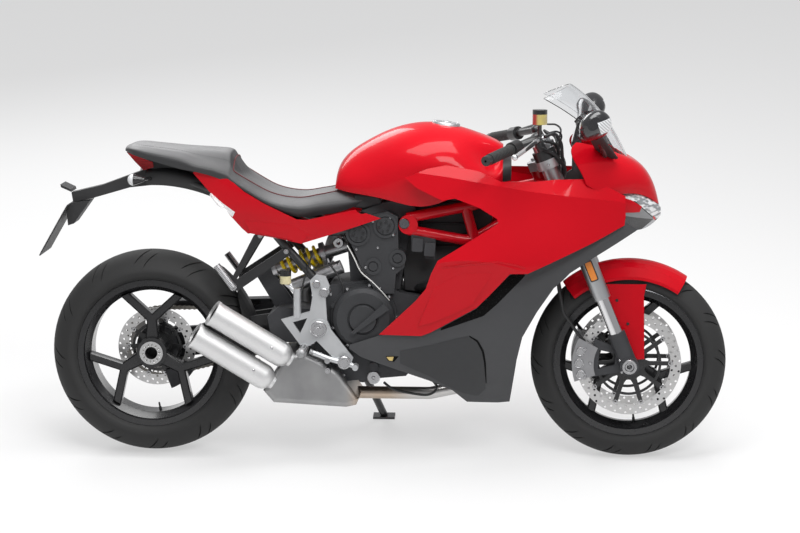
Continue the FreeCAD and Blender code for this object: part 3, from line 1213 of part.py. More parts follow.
@once
def collector():
    right, left = [BREADTH * share for share in COLLECTOR_HALF_SHARES]
    box = prism(COLLECTOR_SHARES, -right, left)
    long_edges = [edge for edge in box.Edges
                  if abs(edge.Vertexes[0].Y - edge.Vertexes[1].Y) < SEAT_CLEARANCE]
    box = box.makeFillet(COLLECTOR_EDGE, long_edges)
    return box.cut(engine_block()).cut(swingarm())


@once
def exhaust_pipes():
    pipes = [pipe([at(point) for point in shares], PIPE_RADIUS, PIPE_BENDS)
             for shares in (FRONT_PIPE_SHARES, REAR_PIPE_SHARES)]
    fixed = [collector(), engine_block(), swingarm(), shock_absorber()]
    for other in fixed:
        pipes = [solid.cut(other) for solid in pipes]
    return Part.makeCompound(pipes)


def exhaust_system():
    return Part.makeCompound([collector(), exhaust_pipes()])


def silencer(shares):
    mouth, front = [at(point) for point in shares]
    mouth.y = -mouth.y
    front.y = -front.y
    along = (front - mouth).normalize()
    body = rod(mouth, front, SILENCER_RADIUS)
    nose = Part.makeSphere(SILENCER_RADIUS, front)
    inlet = rod(front, front + along * NOSE_LENGTH, SILENCER_RADIUS * NOSE_SHARE)
    bore = rod(mouth - along * SILENCER_WALL, mouth + along * SILENCER_MOUTH_DEPTH, SILENCER_BORE)
    rim = rod(mouth, mouth + along * SILENCER_RIM_WIDTH, SILENCER_RADIUS + SILENCER_RIM)
    return joined([body, nose, inlet, rim]).cut(bore)


def silencers():
    both = Part.makeCompound([silencer(UPPER_SILENCER_SHARES), silencer(LOWER_SILENCER_SHARES)])
    return both.cut(collector())


# Tank, seat and tail
TANK_SHARES = (
    (0.572, ((0.0, 0.862), (0.045, 0.858), (0.075, 0.848), (0.088, 0.838), (0.090, 0.832))),
    (0.600, ((0.0, 0.925), (0.050, 0.916), (0.090, 0.890), (0.112, 0.850), (0.112, 0.828))),
    (0.660, ((0.0, 0.970), (0.065, 0.955), (0.118, 0.905), (0.140, 0.850), (0.138, 0.820))),
    (0.740, ((0.0, 1.009), (0.085, 0.990), (0.150, 0.930), (0.165, 0.850), (0.158, 0.806))),
    (0.840, ((0.0, 1.030), (0.105, 1.008), (0.178, 0.945), (0.188, 0.860), (0.172, 0.790))),
    (0.930, ((0.0, 1.021), (0.100, 1.000), (0.170, 0.945), (0.188, 0.880), (0.172, 0.816))),
    (1.010, ((0.0, 0.996), (0.075, 0.980), (0.110, 0.935), (0.165, 0.890), (0.160, 0.838))),
    (1.080, ((0.0, 0.963), (0.050, 0.952), (0.078, 0.925), (0.105, 0.890), (0.105, 0.856))))


@once
def tank():
    return loft([arch(x, points) for x, points in TANK_SHARES])


SEAT_SHARES = (
    (-0.074, ((0.0, 0.951), (0.030, 0.951), (0.052, 0.948), (0.058, 0.944), (0.058, 0.940))),
    (-0.040, ((0.0, 0.966), (0.055, 0.964), (0.090, 0.953), (0.100, 0.940), (0.100, 0.930))),
    (0.060, ((0.0, 0.960), (0.070, 0.958), (0.112, 0.944), (0.122, 0.920), (0.120, 0.902))),
    (0.160, ((0.0, 0.950), (0.080, 0.948), (0.120, 0.932), (0.130, 0.905), (0.128, 0.882))),
    (0.240, ((0.0, 0.938), (0.080, 0.936), (0.120, 0.918), (0.132, 0.885), (0.130, 0.858))),
    (0.300, ((0.0, 0.872), (0.080, 0.872), (0.125, 0.862), (0.140, 0.838), (0.136, 0.818))),
    (0.380, ((0.0, 0.823), (0.085, 0.826), (0.135, 0.820), (0.150, 0.796), (0.144, 0.776))),
    (0.460, ((0.0, 0.811), (0.085, 0.814), (0.135, 0.808), (0.150, 0.780), (0.142, 0.752))),
    (0.530, ((0.0, 0.820), (0.070, 0.822), (0.115, 0.812), (0.130, 0.785), (0.128, 0.756))),
    (0.590, ((0.0, 0.828), (0.065, 0.828), (0.110, 0.815), (0.125, 0.790), (0.122, 0.766))),
    (0.700, ((0.0, 0.815), (0.070, 0.815), (0.125, 0.812), (0.140, 0.805), (0.138, 0.796))))


@once
def seat():
    return loft([arch(x, points) for x, points in SEAT_SHARES]).cut(tank())


TAIL_OUTLINE_SHARES = ((0.140, 0.880), (0.158, 0.893), (0.234, 0.872), (0.264, 0.856), (0.299, 0.827),
                       (0.360, 0.792), (0.460, 0.745), (0.490, 0.744), (0.640, 0.778), (0.715, 0.752),
                       (0.627, 0.721), (0.471, 0.669), (0.332, 0.700), (0.308, 0.696), (0.290, 0.712))
TAIL_STATIONS_SHARES = (0.100, 0.220, 0.340, 0.480, 0.600, 0.740)
TAIL_LEVELS_SHARES = ((0.640, 0.700, 0.760, 0.830, 0.920),) * len(TAIL_STATIONS_SHARES)
TAIL_WIDTHS_SHARES = ((0.060, 0.075, 0.090, 0.105, 0.110),
                      (0.080, 0.100, 0.118, 0.128, 0.128),
                      (0.110, 0.130, 0.146, 0.150, 0.142),
                      (0.128, 0.148, 0.158, 0.156, 0.150),
                      (0.138, 0.156, 0.164, 0.160, 0.150),
                      (0.150, 0.160, 0.166, 0.164, 0.155))
TAIL_TAB_SHARES = (0.330, 0.091, 0.776)
TAIL_TAB_LENGTH = 52.0
TAIL_TAB_RADIUS = 5.0


@once
def tail_panels():
    sheet = skin(side_grid(TAIL_STATIONS_SHARES, TAIL_LEVELS_SHARES, TAIL_WIDTHS_SHARES), PANEL_WALL)
    side = sheet.common(prism(TAIL_OUTLINE_SHARES, 0, BREADTH)).cut(seat()).cut(tank())
    root = at(TAIL_TAB_SHARES)
    tab = cross_rod(root.x, root.z, root.y, root.y + TAIL_TAB_LENGTH, TAIL_TAB_RADIUS).cut(rear_subframe())
    return pair(side.fuse(tab))


UNDERTAIL_SHARES = (
    (-0.012, ((0.0, 0.880), (0.045, 0.880), (0.060, 0.872), (0.064, 0.850), (0.060, 0.834))),
    (0.060, ((0.0, 0.888), (0.055, 0.888), (0.075, 0.876), (0.078, 0.852), (0.070, 0.834))),
    (0.165, ((0.0, 0.860), (0.060, 0.860), (0.078, 0.850), (0.082, 0.830), (0.074, 0.812))),
    (0.300, ((0.0, 0.790), (0.070, 0.790), (0.092, 0.780), (0.096, 0.760), (0.090, 0.745))))


@once
def undertail():
    tray = loft([arch(x, points) for x, points in UNDERTAIL_SHARES])
    return tray.cut(seat()).cut(rear_subframe()).cut(tail_panels())


TAIL_LAMP_SHARES = ((-0.070, 0.936), (0.010, 0.906), (0.012, 0.890), (-0.019, 0.881), (-0.044, 0.906))
TAIL_LAMP_HALF = 62.0
INDICATOR_SHARES = (-0.041, 0.120, 0.858)
INDICATOR_ROOT_SHARES = (0.012, 0.050, 0.856)
INDICATOR_RADIUS = 18.0
INDICATOR_DEPTH = 34.0
STALK_RADIUS = 6.0


@once
def rear_lamps():
    lamp = prism(TAIL_LAMP_SHARES, -TAIL_LAMP_HALF, TAIL_LAMP_HALF).cut(seat()).cut(undertail())
    centre = at(INDICATOR_SHARES)
    rim = centre + V(0, 0, INDICATOR_RADIUS)
    tip = centre + V(INDICATOR_DEPTH, 0, 0)
    back = centre - V(INDICATOR_RADIUS, 0, 0)
    slant = V(-INDICATOR_RADIUS, 0, INDICATOR_RADIUS) / math.sqrt(2)
    dome = Part.Arc(back, centre + slant, rim).toShape()
    sides = Part.makePolygon([rim, tip + V(0, 0, STALK_RADIUS), tip, back])
    lens = Part.Face(Part.Wire([dome] + sides.Edges)).revolve(centre, V(1, 0, 0), 360)
    stalk = rod(centre + V(INDICATOR_DEPTH / 2, 0, 0), at(INDICATOR_ROOT_SHARES), STALK_RADIUS)
    side = joined([lens, stalk]).cut(undertail())
    return Part.makeCompound([lamp, side, mirrored(side)])


PLATE_ARM_SHARES = ((-0.009, 0.854), (-0.024, 0.878), (-0.156, 0.829), (-0.250, 0.806), (-0.245, 0.776),
                    (-0.180, 0.790), (-0.068, 0.823), (0.010, 0.832))
PLATE_ARM_HALF = 22.0
PLATE_BLANK_SHARES = ((-0.252, 0.775), (-0.341, 0.619), (-0.338, 0.617), (-0.249, 0.773))
PLATE_BLANK_HALF = 90.0
PLATE_BACK_SHARES = ((-0.248, 0.776), (-0.262, 0.748), (-0.258, 0.706), (-0.240, 0.712), (-0.190, 0.782))
PLATE_LAMP_SHARES = ((-0.280, 0.833), (-0.248, 0.818), (-0.246, 0.810), (-0.278, 0.824))


def plate_bracket():
    arm = prism(PLATE_ARM_SHARES, -PLATE_ARM_HALF, PLATE_ARM_HALF)
    blank = prism(PLATE_BLANK_SHARES, -PLATE_BLANK_HALF, PLATE_BLANK_HALF)
    back = prism(PLATE_BACK_SHARES, -PLATE_ARM_HALF * 2, PLATE_ARM_HALF * 2)
    lamp = prism(PLATE_LAMP_SHARES, -PLATE_ARM_HALF * 2, PLATE_ARM_HALF * 2)
    return joined([arm, blank, back, lamp]).cut(undertail()).cut(rear_lamps())


# Fairings
SIDE_STAY_SHARES = ((1.050, 0.103, 0.717), (1.064, 0.282, 0.698))
SIDE_STAY_RADIUS = 7.0
PAST_PANEL = 50.0
SIDE_OUTLINE_SHARES = ((0.790, 0.880), (0.855, 0.907), (0.912, 0.918), (1.007, 0.903), (1.076, 0.873),
                       (1.176, 0.873), (1.237, 0.878), (1.345, 0.878), (1.392, 0.856), (1.449, 0.824),
                       (1.450, 0.766), (1.447, 0.738), (1.359, 0.694), (1.267, 0.652), (1.158, 0.602),
                       (1.106, 0.601), (1.048, 0.536), (1.007, 0.493), (0.867, 0.412), (0.839, 0.401),
                       (0.712, 0.403), (0.824, 0.512), (0.854, 0.549), (0.870, 0.596), (0.890, 0.637),
                       (0.994, 0.702), (1.069, 0.751), (1.067, 0.763), (1.014, 0.795), (0.940, 0.822),
                       (0.901, 0.815), (0.826, 0.850))
SIDE_STATIONS_SHARES = (0.660, 0.850, 1.000, 1.150, 1.300, 1.470)
SIDE_LEVELS_SHARES = ((0.380, 0.500, 0.580, 0.700, 0.800, 0.890, 0.940),
                      (0.380, 0.500, 0.618, 0.700, 0.800, 0.893, 0.940),
                      (0.380, 0.500, 0.640, 0.705, 0.790, 0.872, 0.940),
                      (0.380, 0.500, 0.608, 0.700, 0.780, 0.848, 0.940),
                      (0.380, 0.500, 0.560, 0.690, 0.765, 0.828, 0.940),
                      (0.380, 0.480, 0.540, 0.670, 0.740, 0.800, 0.940))
SIDE_WIDTHS_SHARES = ((0.196, 0.213, 0.222, 0.222, 0.210, 0.196, 0.178),
                      (0.203, 0.228, 0.250, 0.240, 0.226, 0.212, 0.186),
                      (0.206, 0.234, 0.268, 0.256, 0.242, 0.232, 0.190),
                      (0.200, 0.236, 0.266, 0.260, 0.246, 0.240, 0.184),
                      (0.180, 0.212, 0.228, 0.236, 0.226, 0.220, 0.160),
                      (0.110, 0.130, 0.140, 0.153, 0.151, 0.150, 0.100))
SIDE_CREASES = (2, 5)


@once
def side_fairing():
    grid = side_grid(SIDE_STATIONS_SHARES, SIDE_LEVELS_SHARES, SIDE_WIDTHS_SHARES)
    sheet = skin(grid, PANEL_WALL, SIDE_CREASES)
    sheet = sheet.common(prism(SIDE_OUTLINE_SHARES, 0, BREADTH)).cut(tank()).cut(headlight())
    start, end = [at(shares) for shares in SIDE_STAY_SHARES]
    past = skin(shifted(grid, PANEL_WALL / 2), -PAST_PANEL, SIDE_CREASES)
    stay = rod(start, end, SIDE_STAY_RADIUS).cut(past).cut(main_frame())
    return sheet.fuse(stay)


def side_fairing_right():
    return mirrored(side_fairing())


LOWER_BOSS_RADIUS = 9.0
LOWER_BOSS_SHARES = ((0.770, 0.340), (0.800, 0.300))
LOWER_TAB_SHARE = 0.215
LOWER_OUTLINE_SHARES = ((1.489, 0.721), (1.356, 0.642), (1.285, 0.596), (1.265, 0.575), (1.237, 0.550),
                        (1.187, 0.476), (1.144, 0.398), (1.128, 0.327), (1.107, 0.184), (1.071, 0.181),
                        (0.977, 0.184), (0.933, 0.225), (0.862, 0.257), (0.657, 0.329), (0.621, 0.355),
                        (0.621, 0.367), (0.711, 0.398), (0.866, 0.415), (1.023, 0.500), (1.100, 0.604),
                        (1.158, 0.612), (1.359, 0.704), (1.447, 0.748))
LOWER_STATIONS_SHARES = (0.600, 0.800, 1.000, 1.150, 1.300, 1.500)
LOWER_LEVELS_SHARES = ((0.170, 0.250, 0.330, 0.420, 0.500, 0.600, 0.760),) * len(LOWER_STATIONS_SHARES)
LOWER_WIDTHS_SHARES = ((0.104, 0.148, 0.172, 0.186, 0.188, 0.188, 0.186),
                       (0.112, 0.160, 0.186, 0.198, 0.203, 0.205, 0.200),
                       (0.108, 0.160, 0.190, 0.205, 0.212, 0.216, 0.208),
                       (0.090, 0.142, 0.176, 0.196, 0.206, 0.214, 0.208),
                       (0.050, 0.098, 0.136, 0.164, 0.182, 0.198, 0.196),
                       (0.020, 0.040, 0.064, 0.084, 0.100, 0.116, 0.122))


def lower_fairings():
    grid = side_grid(LOWER_STATIONS_SHARES, LOWER_LEVELS_SHARES, LOWER_WIDTHS_SHARES)
    sheet = skin(grid, PANEL_WALL).common(prism(LOWER_OUTLINE_SHARES, 0, BREADTH))
    past = skin(shifted(grid, PANEL_WALL / 2), -PAST_PANEL)
    bosses = [cross_rod(*flat(spot), CASE_HALF, BREADTH * LOWER_TAB_SHARE, LOWER_BOSS_RADIUS).cut(past)
              for spot in LOWER_BOSS_SHARES]
    side = joined([sheet] + bosses)
    return pair(side.cut(side_fairing()).cut(headlight()))


HEADLIGHT_SHARES = (
    (1.445, ((0.0, 0.832), (0.070, 0.830), (0.104, 0.822), (0.110, 0.790), (0.092, 0.724))),
    (1.490, ((0.0, 0.832), (0.056, 0.828), (0.084, 0.812), (0.086, 0.775), (0.070, 0.712))),
    (1.532, ((0.0, 0.812), (0.032, 0.806), (0.048, 0.790), (0.046, 0.760), (0.034, 0.724))),
    (1.562, ((0.0, 0.775), (0.010, 0.773), (0.018, 0.766), (0.016, 0.758), (0.010, 0.750))))


@once
def headlight():
    return loft([arch(x, points) for x, points in HEADLIGHT_SHARES])


NOSE_LEVELS_SHARES = (
    ((1.330, 0.200, 0.864), (1.420, 0.150, 0.830), (1.486, 0.088, 0.824), (1.537, 0.040, 0.800),
     (1.557, 0.0, 0.784)),
    ((1.300, 0.196, 0.925), (1.402, 0.152, 0.895), (1.474, 0.098, 0.880), (1.522, 0.048, 0.862),
     (1.538, 0.0, 0.850)),
    ((1.285, 0.180, 0.962), (1.380, 0.142, 0.940), (1.450, 0.092, 0.922), (1.492, 0.046, 0.908),
     (1.506, 0.0, 0.900)),
    ((1.300, 0.160, 0.986), (1.368, 0.132, 0.970), (1.418, 0.085, 0.950), (1.450, 0.042, 0.936),
     (1.462, 0.0, 0.930)))


@once
def nose_fairing():
    grid = []
    for line in NOSE_LEVELS_SHARES:
        left = [at(point) for point in line]
        right = [V(point.x, -point.y, point.z) for point in reversed(left[:-1])]
        grid.append(left + right)
    return skin(grid, -PANEL_WALL).cut(headlight()).cut(side_fairing()).cut(mirrored(side_fairing()))


SCREEN_LEVELS_SHARES = (
    ((1.394, 0.122, 0.958), (1.426, 0.079, 0.940), (1.452, 0.040, 0.927), (1.463, 0.0, 0.921)),
    ((1.330, 0.132, 1.030), (1.375, 0.086, 1.018), (1.408, 0.044, 1.008), (1.420, 0.0, 1.004)),
    ((1.262, 0.128, 1.080), (1.315, 0.084, 1.082), (1.352, 0.044, 1.082), (1.364, 0.0, 1.082)),
    ((1.201, 0.108, 1.113), (1.250, 0.068, 1.134), (1.276, 0.034, 1.146), (1.284, 0.0, 1.150)))


@once
def windscreen():
    grid = []
    for line in SCREEN_LEVELS_SHARES:
        left = [at(point) for point in line]
        right = [V(point.x, -point.y, point.z) for point in reversed(left[:-1])]
        grid.append(left + right)
    return skin(grid, -SCREEN_WALL).cut(nose_fairing())


MIRROR_SHARES = (
    (0.262, ((1.300, 1.012), (1.330, 1.040), (1.352, 1.046), (1.362, 1.034), (1.345, 1.012), (1.315, 1.000))),
    (0.310, ((1.312, 1.010), (1.334, 1.078), (1.372, 1.084), (1.398, 1.052), (1.380, 1.020), (1.330, 1.004))),
    (0.355, ((1.316, 1.024), (1.338, 1.092), (1.366, 1.096), (1.390, 1.070), (1.374, 1.036), (1.336, 1.018))),
    (0.378, ((1.330, 1.046), (1.340, 1.076), (1.354, 1.080), (1.366, 1.066), (1.358, 1.048), (1.342, 1.040))))
MIRROR_STALK_SHARES = ((1.386, 0.134, 0.945), (1.366, 0.215, 1.000), (1.340, 0.285, 1.032))
MIRROR_STALK_RADIUS = 9.0


def mirrors():
    sections = []
    for y, points in MIRROR_SHARES:
        line = [at((x, y, z)) for x, z in points]
        curve = Part.BSplineCurve()
        curve.interpolate(line, True)
        sections.append(Part.Wire(curve.toShape()))
    head = loft(sections)
    stalk = pipe([at(point) for point in MIRROR_STALK_SHARES], MIRROR_STALK_RADIUS, TRELLIS_BENDS)
    return pair(largest(joined([head, stalk]).cut(nose_fairing()).cut(windscreen())))


DASH_SHARES = ((1.288, 0.962), (1.306, 1.036), (1.324, 1.030), (1.314, 0.953))
DASH_HALF = 62.0
COWL_STAY_SHARES = ((1.255, 0.819), (1.240, 0.856), (1.290, 0.888), (1.290, 0.963), (1.314, 0.958),
                    (1.325, 0.895), (1.452, 0.815), (1.452, 0.770), (1.330, 0.835))
COWL_STAY_HALF = 16.0
COWL_SHARES = (
    (1.000, ((0.0, 0.905), (0.075, 0.905), (0.125, 0.900), (0.140, 0.880), (0.136, 0.842))),
    (1.105, ((0.0, 0.922), (0.060, 0.920), (0.085, 0.905), (0.092, 0.885), (0.088, 0.862))))


def cockpit_trim():
    """The instrument pod on its bracket and the dark cover between tank and forks."""
    stay = prism(COWL_STAY_SHARES, -COWL_STAY_HALF, COWL_STAY_HALF)
    pod = joined([prism(DASH_SHARES, -DASH_HALF, DASH_HALF), stay])
    for other in (nose_fairing(), windscreen(), headlight(), main_frame()):
        pod = pod.cut(other)
    cover = largest(loft([arch(x, points) for x, points in COWL_SHARES]).cut(tank()))
    return Part.makeCompound([pod, cover])


RADIATOR_SHARES = ((1.160, 0.700), (1.195, 0.690), (1.150, 0.430), (1.115, 0.440))
RADIATOR_HALF_SHARE = 0.150
RADIATOR_STAY_SHARES = ((1.060, 0.070, 0.480), (1.145, 0.070, 0.520))
RADIATOR_STAY_RADIUS = 8.0


def radiator():
    half = BREADTH * RADIATOR_HALF_SHARE
    core = prism(RADIATOR_SHARES, -half, half)
    stay = rod(at(RADIATOR_STAY_SHARES[0]), at(RADIATOR_STAY_SHARES[1]), RADIATOR_STAY_RADIUS)
    return joined([core, stay, mirrored(stay)]).cut(exhaust_pipes()).cut(engine_block())


HOSE_RADIUS = 5.0
HOSE_BENDS = 60.0
HOSE_SHARES = ((1.205, 0.190, 1.004), (1.236, 0.165, 1.016), (1.256, 0.136, 0.980), (1.262, 0.105, 0.900),
               (1.262, 0.082, 0.820), (1.266, 0.072, 0.765))
LOWER_HOSE_SHARES = ((1.258, 0.085, 0.720), (1.256, 0.098, 0.640), (1.252, 0.104, 0.540),
                     (1.268, 0.100, 0.460), (1.312, 0.092, 0.395), (1.335, 0.088, 0.368))


def brake_lines():
    others = [handlebars(), triple_clamps(), front_calipers(), fork_tubes(), fork_bottoms()]
    upper = mirrored(pipe([at(point) for point in HOSE_SHARES], HOSE_RADIUS, HOSE_BENDS))
    lower = pipe([at(point) for point in LOWER_HOSE_SHARES], HOSE_RADIUS, HOSE_BENDS)
    lines = [upper, lower, mirrored(lower)]
    for other in others:
        lines = [line.cut(other) for line in lines]
    return Part.makeCompound(lines)


# Side stand and how the bike leans on it
STAND_PIVOT_SHARES = (0.640, 0.150, 0.226)
STAND_ROOT_SHARES = (0.640, 0.084, 0.262)
STAND_CHEEK = 20.0
STAND_ARM_RADIUS = 8.5
STAND_PIN_RADIUS = 6.0
STAND_PIN_HEAD_RADIUS = 10.0
STAND_PIN_HEAD = 5.0
STAND_FOOT_SHARES = (0.700, 0.290)
STAND_RADIUS = 12.0
STAND_EYE_RADIUS = 20.0
STAND_EYE_DEPTH = 24.0
FOOT_LENGTH = 70.0
FOOT_WIDTH = 42.0
FOOT_THICKNESS = 7.0
STAND_STOWED_SHARES = (-0.965, 0.150, -0.215)


def lean_place():
    """Both tyres stay on the ground as the bike leans to its left."""
    lean = math.radians(STAND_LEAN_ANGLE)
    rear_drop = REAR_CROWN_RADIUS * (1 - math.cos(lean))
    front_drop = FRONT_CROWN_RADIUS * (1 - math.cos(lean))
    pitch = math.degrees(math.atan2(rear_drop - front_drop, WHEELBASE))
    tip = FreeCAD.Placement(V(0, 0, 0), FreeCAD.Rotation(V(1, 0, 0), -STAND_LEAN_ANGLE))
    nod = FreeCAD.Placement(V(0, 0, rear_drop), FreeCAD.Rotation(V(0, 1, 0), pitch))
    return nod.multiply(tip)


def stand_points():
    foot = V(LENGTH * STAND_FOOT_SHARES[0], BREADTH * STAND_FOOT_SHARES[1], FOOT_THICKNESS)
    ankle = lean_place().inverse().multVec(foot)
    return at(STAND_PIVOT_SHARES), ankle


def stand_axis():
    pivot, ankle = stand_points()
    down = (ankle - pivot).normalize()
    stowed = V(*STAND_STOWED_SHARES).normalize()
    return down.cross(stowed).normalize()


def side_stand():
    pivot, ankle = stand_points()
    axis = stand_axis()
    leg = rod(pivot, ankle, STAND_RADIUS)
    eye = Part.makeCylinder(STAND_EYE_RADIUS, STAND_EYE_DEPTH, pivot - axis * (STAND_EYE_DEPTH / 2), axis)
    foot = Part.makeBox(FOOT_LENGTH, FOOT_WIDTH, FOOT_THICKNESS,
                        V(LENGTH * STAND_FOOT_SHARES[0] - FOOT_LENGTH / 2,
                          BREADTH * STAND_FOOT_SHARES[1] - FOOT_WIDTH / 2, 0))
    foot.Placement = lean_place().inverse()
    below = Part.makeBox(LENGTH, BREADTH, STAND_RADIUS * 2, V(0, 0, -STAND_RADIUS * 2))
    below.Placement = lean_place().inverse()
    bore = rod(pivot - axis * STAND_EYE_DEPTH, pivot + axis * STAND_EYE_DEPTH,
               STAND_PIN_RADIUS + RUNNING_CLEARANCE)
    return joined([leg.cut(below), eye, foot]).cut(bore)


def stand_lug():
    """A cast arm, a cheek and a headed pin that carry the stand's eye."""
    pivot, ankle = stand_points()
    axis = stand_axis()
    inner = pivot - axis * (STAND_EYE_DEPTH / 2 + RUNNING_CLEARANCE)
    outer = pivot + axis * (STAND_EYE_DEPTH / 2 + RUNNING_CLEARANCE)
    cheek = rod(inner - axis * STAND_CHEEK, inner, STAND_EYE_RADIUS)
    arm = rod(at(STAND_ROOT_SHARES), inner - axis * (STAND_CHEEK / 2), STAND_ARM_RADIUS)
    pin = rod(inner, outer, STAND_PIN_RADIUS)
    head = rod(outer, outer + axis * STAND_PIN_HEAD, STAND_PIN_HEAD_RADIUS)
    return [arm, cheek, pin, head]


NODES = {
    "front_tyre": front_tyre,
    "front_rim": front_rim,
    "front_discs": front_discs,
    "front_axle": front_axle,
    "rear_tyre": rear_tyre,
    "rear_rim": rear_rim,
    "rear_axle": rear_axle,
    "rear_disc": rear_disc,
    "rear_sprocket": rear_sprocket,
    "drive_chain": drive_chain,
    "fork_tubes": fork_tubes,
    "fork_bottoms": fork_bottoms,
    "triple_clamps": triple_clamps,
    "handlebars": handlebars,
    "grips": grips,
    "front_calipers": front_calipers,
    "front_fender": front_fender,
    "main_frame": main_frame,
    "engine_block": engine_block,
    "engine_covers": engine_covers,
    "swingarm": swingarm,
    "hugger": hugger,
    "rear_subframe": rear_subframe,
    "shock_absorber": shock_absorber,
    "shock_spring": shock_spring,
    "rider_foot_plates": rider_foot_plates,
    "passenger_brackets": passenger_brackets,
    "exhaust_system": exhaust_system,
    "silencers": silencers,
    "tank": tank,
    "seat": seat,
    "tail_panels": tail_panels,
    "undertail": undertail,
    "rear_lamps": rear_lamps,
    "plate_bracket": plate_bracket,
    "side_fairing_left": side_fairing,
    "side_fairing_right": side_fairing_right,
    "lower_fairings": lower_fairings,
    "headlight": headlight,
    "nose_fairing": nose_fairing,
    "windscreen": windscreen,
    "mirrors": mirrors,
    "cockpit_trim": cockpit_trim,
    "radiator": radiator,
    "brake_lines": brake_lines,
    "side_stand": side_stand,
}


def main():
    os.makedirs("parts", exist_ok=True)
    placed = {}
    lean = lean_place()
    for name, build in NODES.items():
        shape = build()
        shape.Placement = lean.multiply(shape.Placement)
        placed[name] = shape
        print(name, shape.isValid(), len(shape.Solids), round(shape.Volume / 1000))
    box = FreeCAD.BoundBox()
    for shape in placed.values():
        box.add(shape.optimalBoundingBox(False))
    centre = V(-box.Center.x, -box.Center.y, 0)
    move = FreeCAD.Placement(centre, FreeCAD.Rotation()).multiply(lean)
    for name, point, axis in (("steering", STEERING_FOOT, STEERING_UP), ("front_wheel", FRONT_AXLE, V(0, 1, 0)),
                              ("rear_wheel", REAR_AXLE, V(0, 1, 0)),
                              ("side_stand", stand_points()[0], stand_axis())):
        print("place", name, *move.multVec(point), *move.Rotation.multVec(axis))
    for name, shape in placed.items():
        shape.translate(centre)
        shape.exportStep("parts/" + name + ".step")


main()
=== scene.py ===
import bpy
import bmesh
import json
import math
from mathutils import Matrix, Vector


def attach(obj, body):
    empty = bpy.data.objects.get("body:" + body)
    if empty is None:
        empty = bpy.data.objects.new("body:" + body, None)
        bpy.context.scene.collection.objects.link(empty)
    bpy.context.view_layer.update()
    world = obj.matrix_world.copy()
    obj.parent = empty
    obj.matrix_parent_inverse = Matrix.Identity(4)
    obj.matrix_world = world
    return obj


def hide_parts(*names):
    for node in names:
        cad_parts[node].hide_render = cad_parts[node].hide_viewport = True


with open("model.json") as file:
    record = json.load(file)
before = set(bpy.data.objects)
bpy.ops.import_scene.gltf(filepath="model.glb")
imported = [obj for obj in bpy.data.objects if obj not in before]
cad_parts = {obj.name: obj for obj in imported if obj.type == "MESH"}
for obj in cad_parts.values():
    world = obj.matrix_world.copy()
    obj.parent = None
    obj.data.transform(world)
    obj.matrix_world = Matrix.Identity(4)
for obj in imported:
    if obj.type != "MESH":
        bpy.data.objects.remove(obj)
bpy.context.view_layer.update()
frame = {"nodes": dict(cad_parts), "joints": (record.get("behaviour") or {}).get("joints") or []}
JOINTS = {joint["name"]: joint for joint in frame["joints"]}

# The bike's own frame: x forward from the rear axle, y to its left, z up from the ground, upright, in metres.
WHEELBASE = 1.470
REAR_RADIUS = 0.315
FRONT_RADIUS = 0.300
REAR_CROWN = 0.100
FRONT_CROWN = 0.062
LEAN = math.radians(10.0)
RAKE = math.radians(22.3)
FORK_AHEAD = 0.030
FORK_SIDE = 0.105
FRONT_AXLE = (WHEELBASE, 0, FRONT_RADIUS)
REAR_AXLE = (0, 0, REAR_RADIUS)
# The right side, then the left.
SIDES = (-1, 1)


def leaning():
    """The bike's own frame, set down on both tyres as it leans to its left."""
    rear_drop = REAR_CROWN * (1 - math.cos(LEAN))
    front_drop = FRONT_CROWN * (1 - math.cos(LEAN))
    pitch = math.atan2(rear_drop - front_drop, WHEELBASE)
    turn = Matrix.Rotation(pitch, 4, "Y") @ Matrix.Rotation(-LEAN, 4, "X")
    axle = Vector(JOINTS["rear_wheel_spin"]["pos_m"])
    return Matrix.Translation(axle - turn @ Vector(REAR_AXLE)) @ turn


TO_ROW = leaning()
TO_BIKE = TO_ROW.inverted()
STEERING_FOOT = Vector((WHEELBASE - FORK_AHEAD * math.cos(RAKE), 0, FRONT_RADIUS - FORK_AHEAD * math.sin(RAKE)))
STEERING = Matrix.Translation(STEERING_FOOT) @ Matrix.Rotation(-RAKE, 4, "Y")
STEERING_UP = STEERING.to_3x3() @ Vector((0, 0, 1))


def row_way(direction):
    """A direction of the bike's own frame, one long, in the frame of the solids."""
    return (TO_ROW.to_3x3() @ Vector(direction)).normalized()


# ---- Node maths for the finishes ----

class Signal:
    """A socket that sums, differences and products can be written with."""

    def __init__(self, net, socket):
        self.net = net
        self.socket = socket

    def maths(self, operation, *others):
        return self.net.node("ShaderNodeMath", {"operation": operation}, dict(enumerate((self,) + others)))

    def __add__(self, other):
        return self.maths("ADD", other)

    def __sub__(self, other):
        return self.maths("SUBTRACT", other)

    def __mul__(self, other):
        return self.maths("MULTIPLY", other)

    def __radd__(self, other):
        return self.maths("ADD", other)

    def __rmul__(self, other):
        return self.maths("MULTIPLY", other)

    def __rsub__(self, other):
        return self.net.node("ShaderNodeMath", {"operation": "SUBTRACT"}, {0: other, 1: self})

    def __neg__(self):
        return self * -1.0

    def __gt__(self, other):
        return self.maths("GREATER_THAN", other)

    def __lt__(self, other):
        return self.maths("LESS_THAN", other)

    def size(self):
        return self.maths("ABSOLUTE")

    def sine(self):
        return self.maths("SINE")

    def most(self, other):
        return self.maths("MAXIMUM", other)

    def least(self, other):
        return self.maths("MINIMUM", other)

    def between(self, low, high):
        """1 from the low value to the high one, 0 outside them."""
        return (self > low) * (self < high)

    def ramp(self, start, end):
        """From 0 at the start to 1 at the end, smoothly."""
        return self.net.node("ShaderNodeMapRange", {"interpolation_type": "SMOOTHSTEP"},
                             {0: self, 1: start, 2: end, 3: 0.0, 4: 1.0})


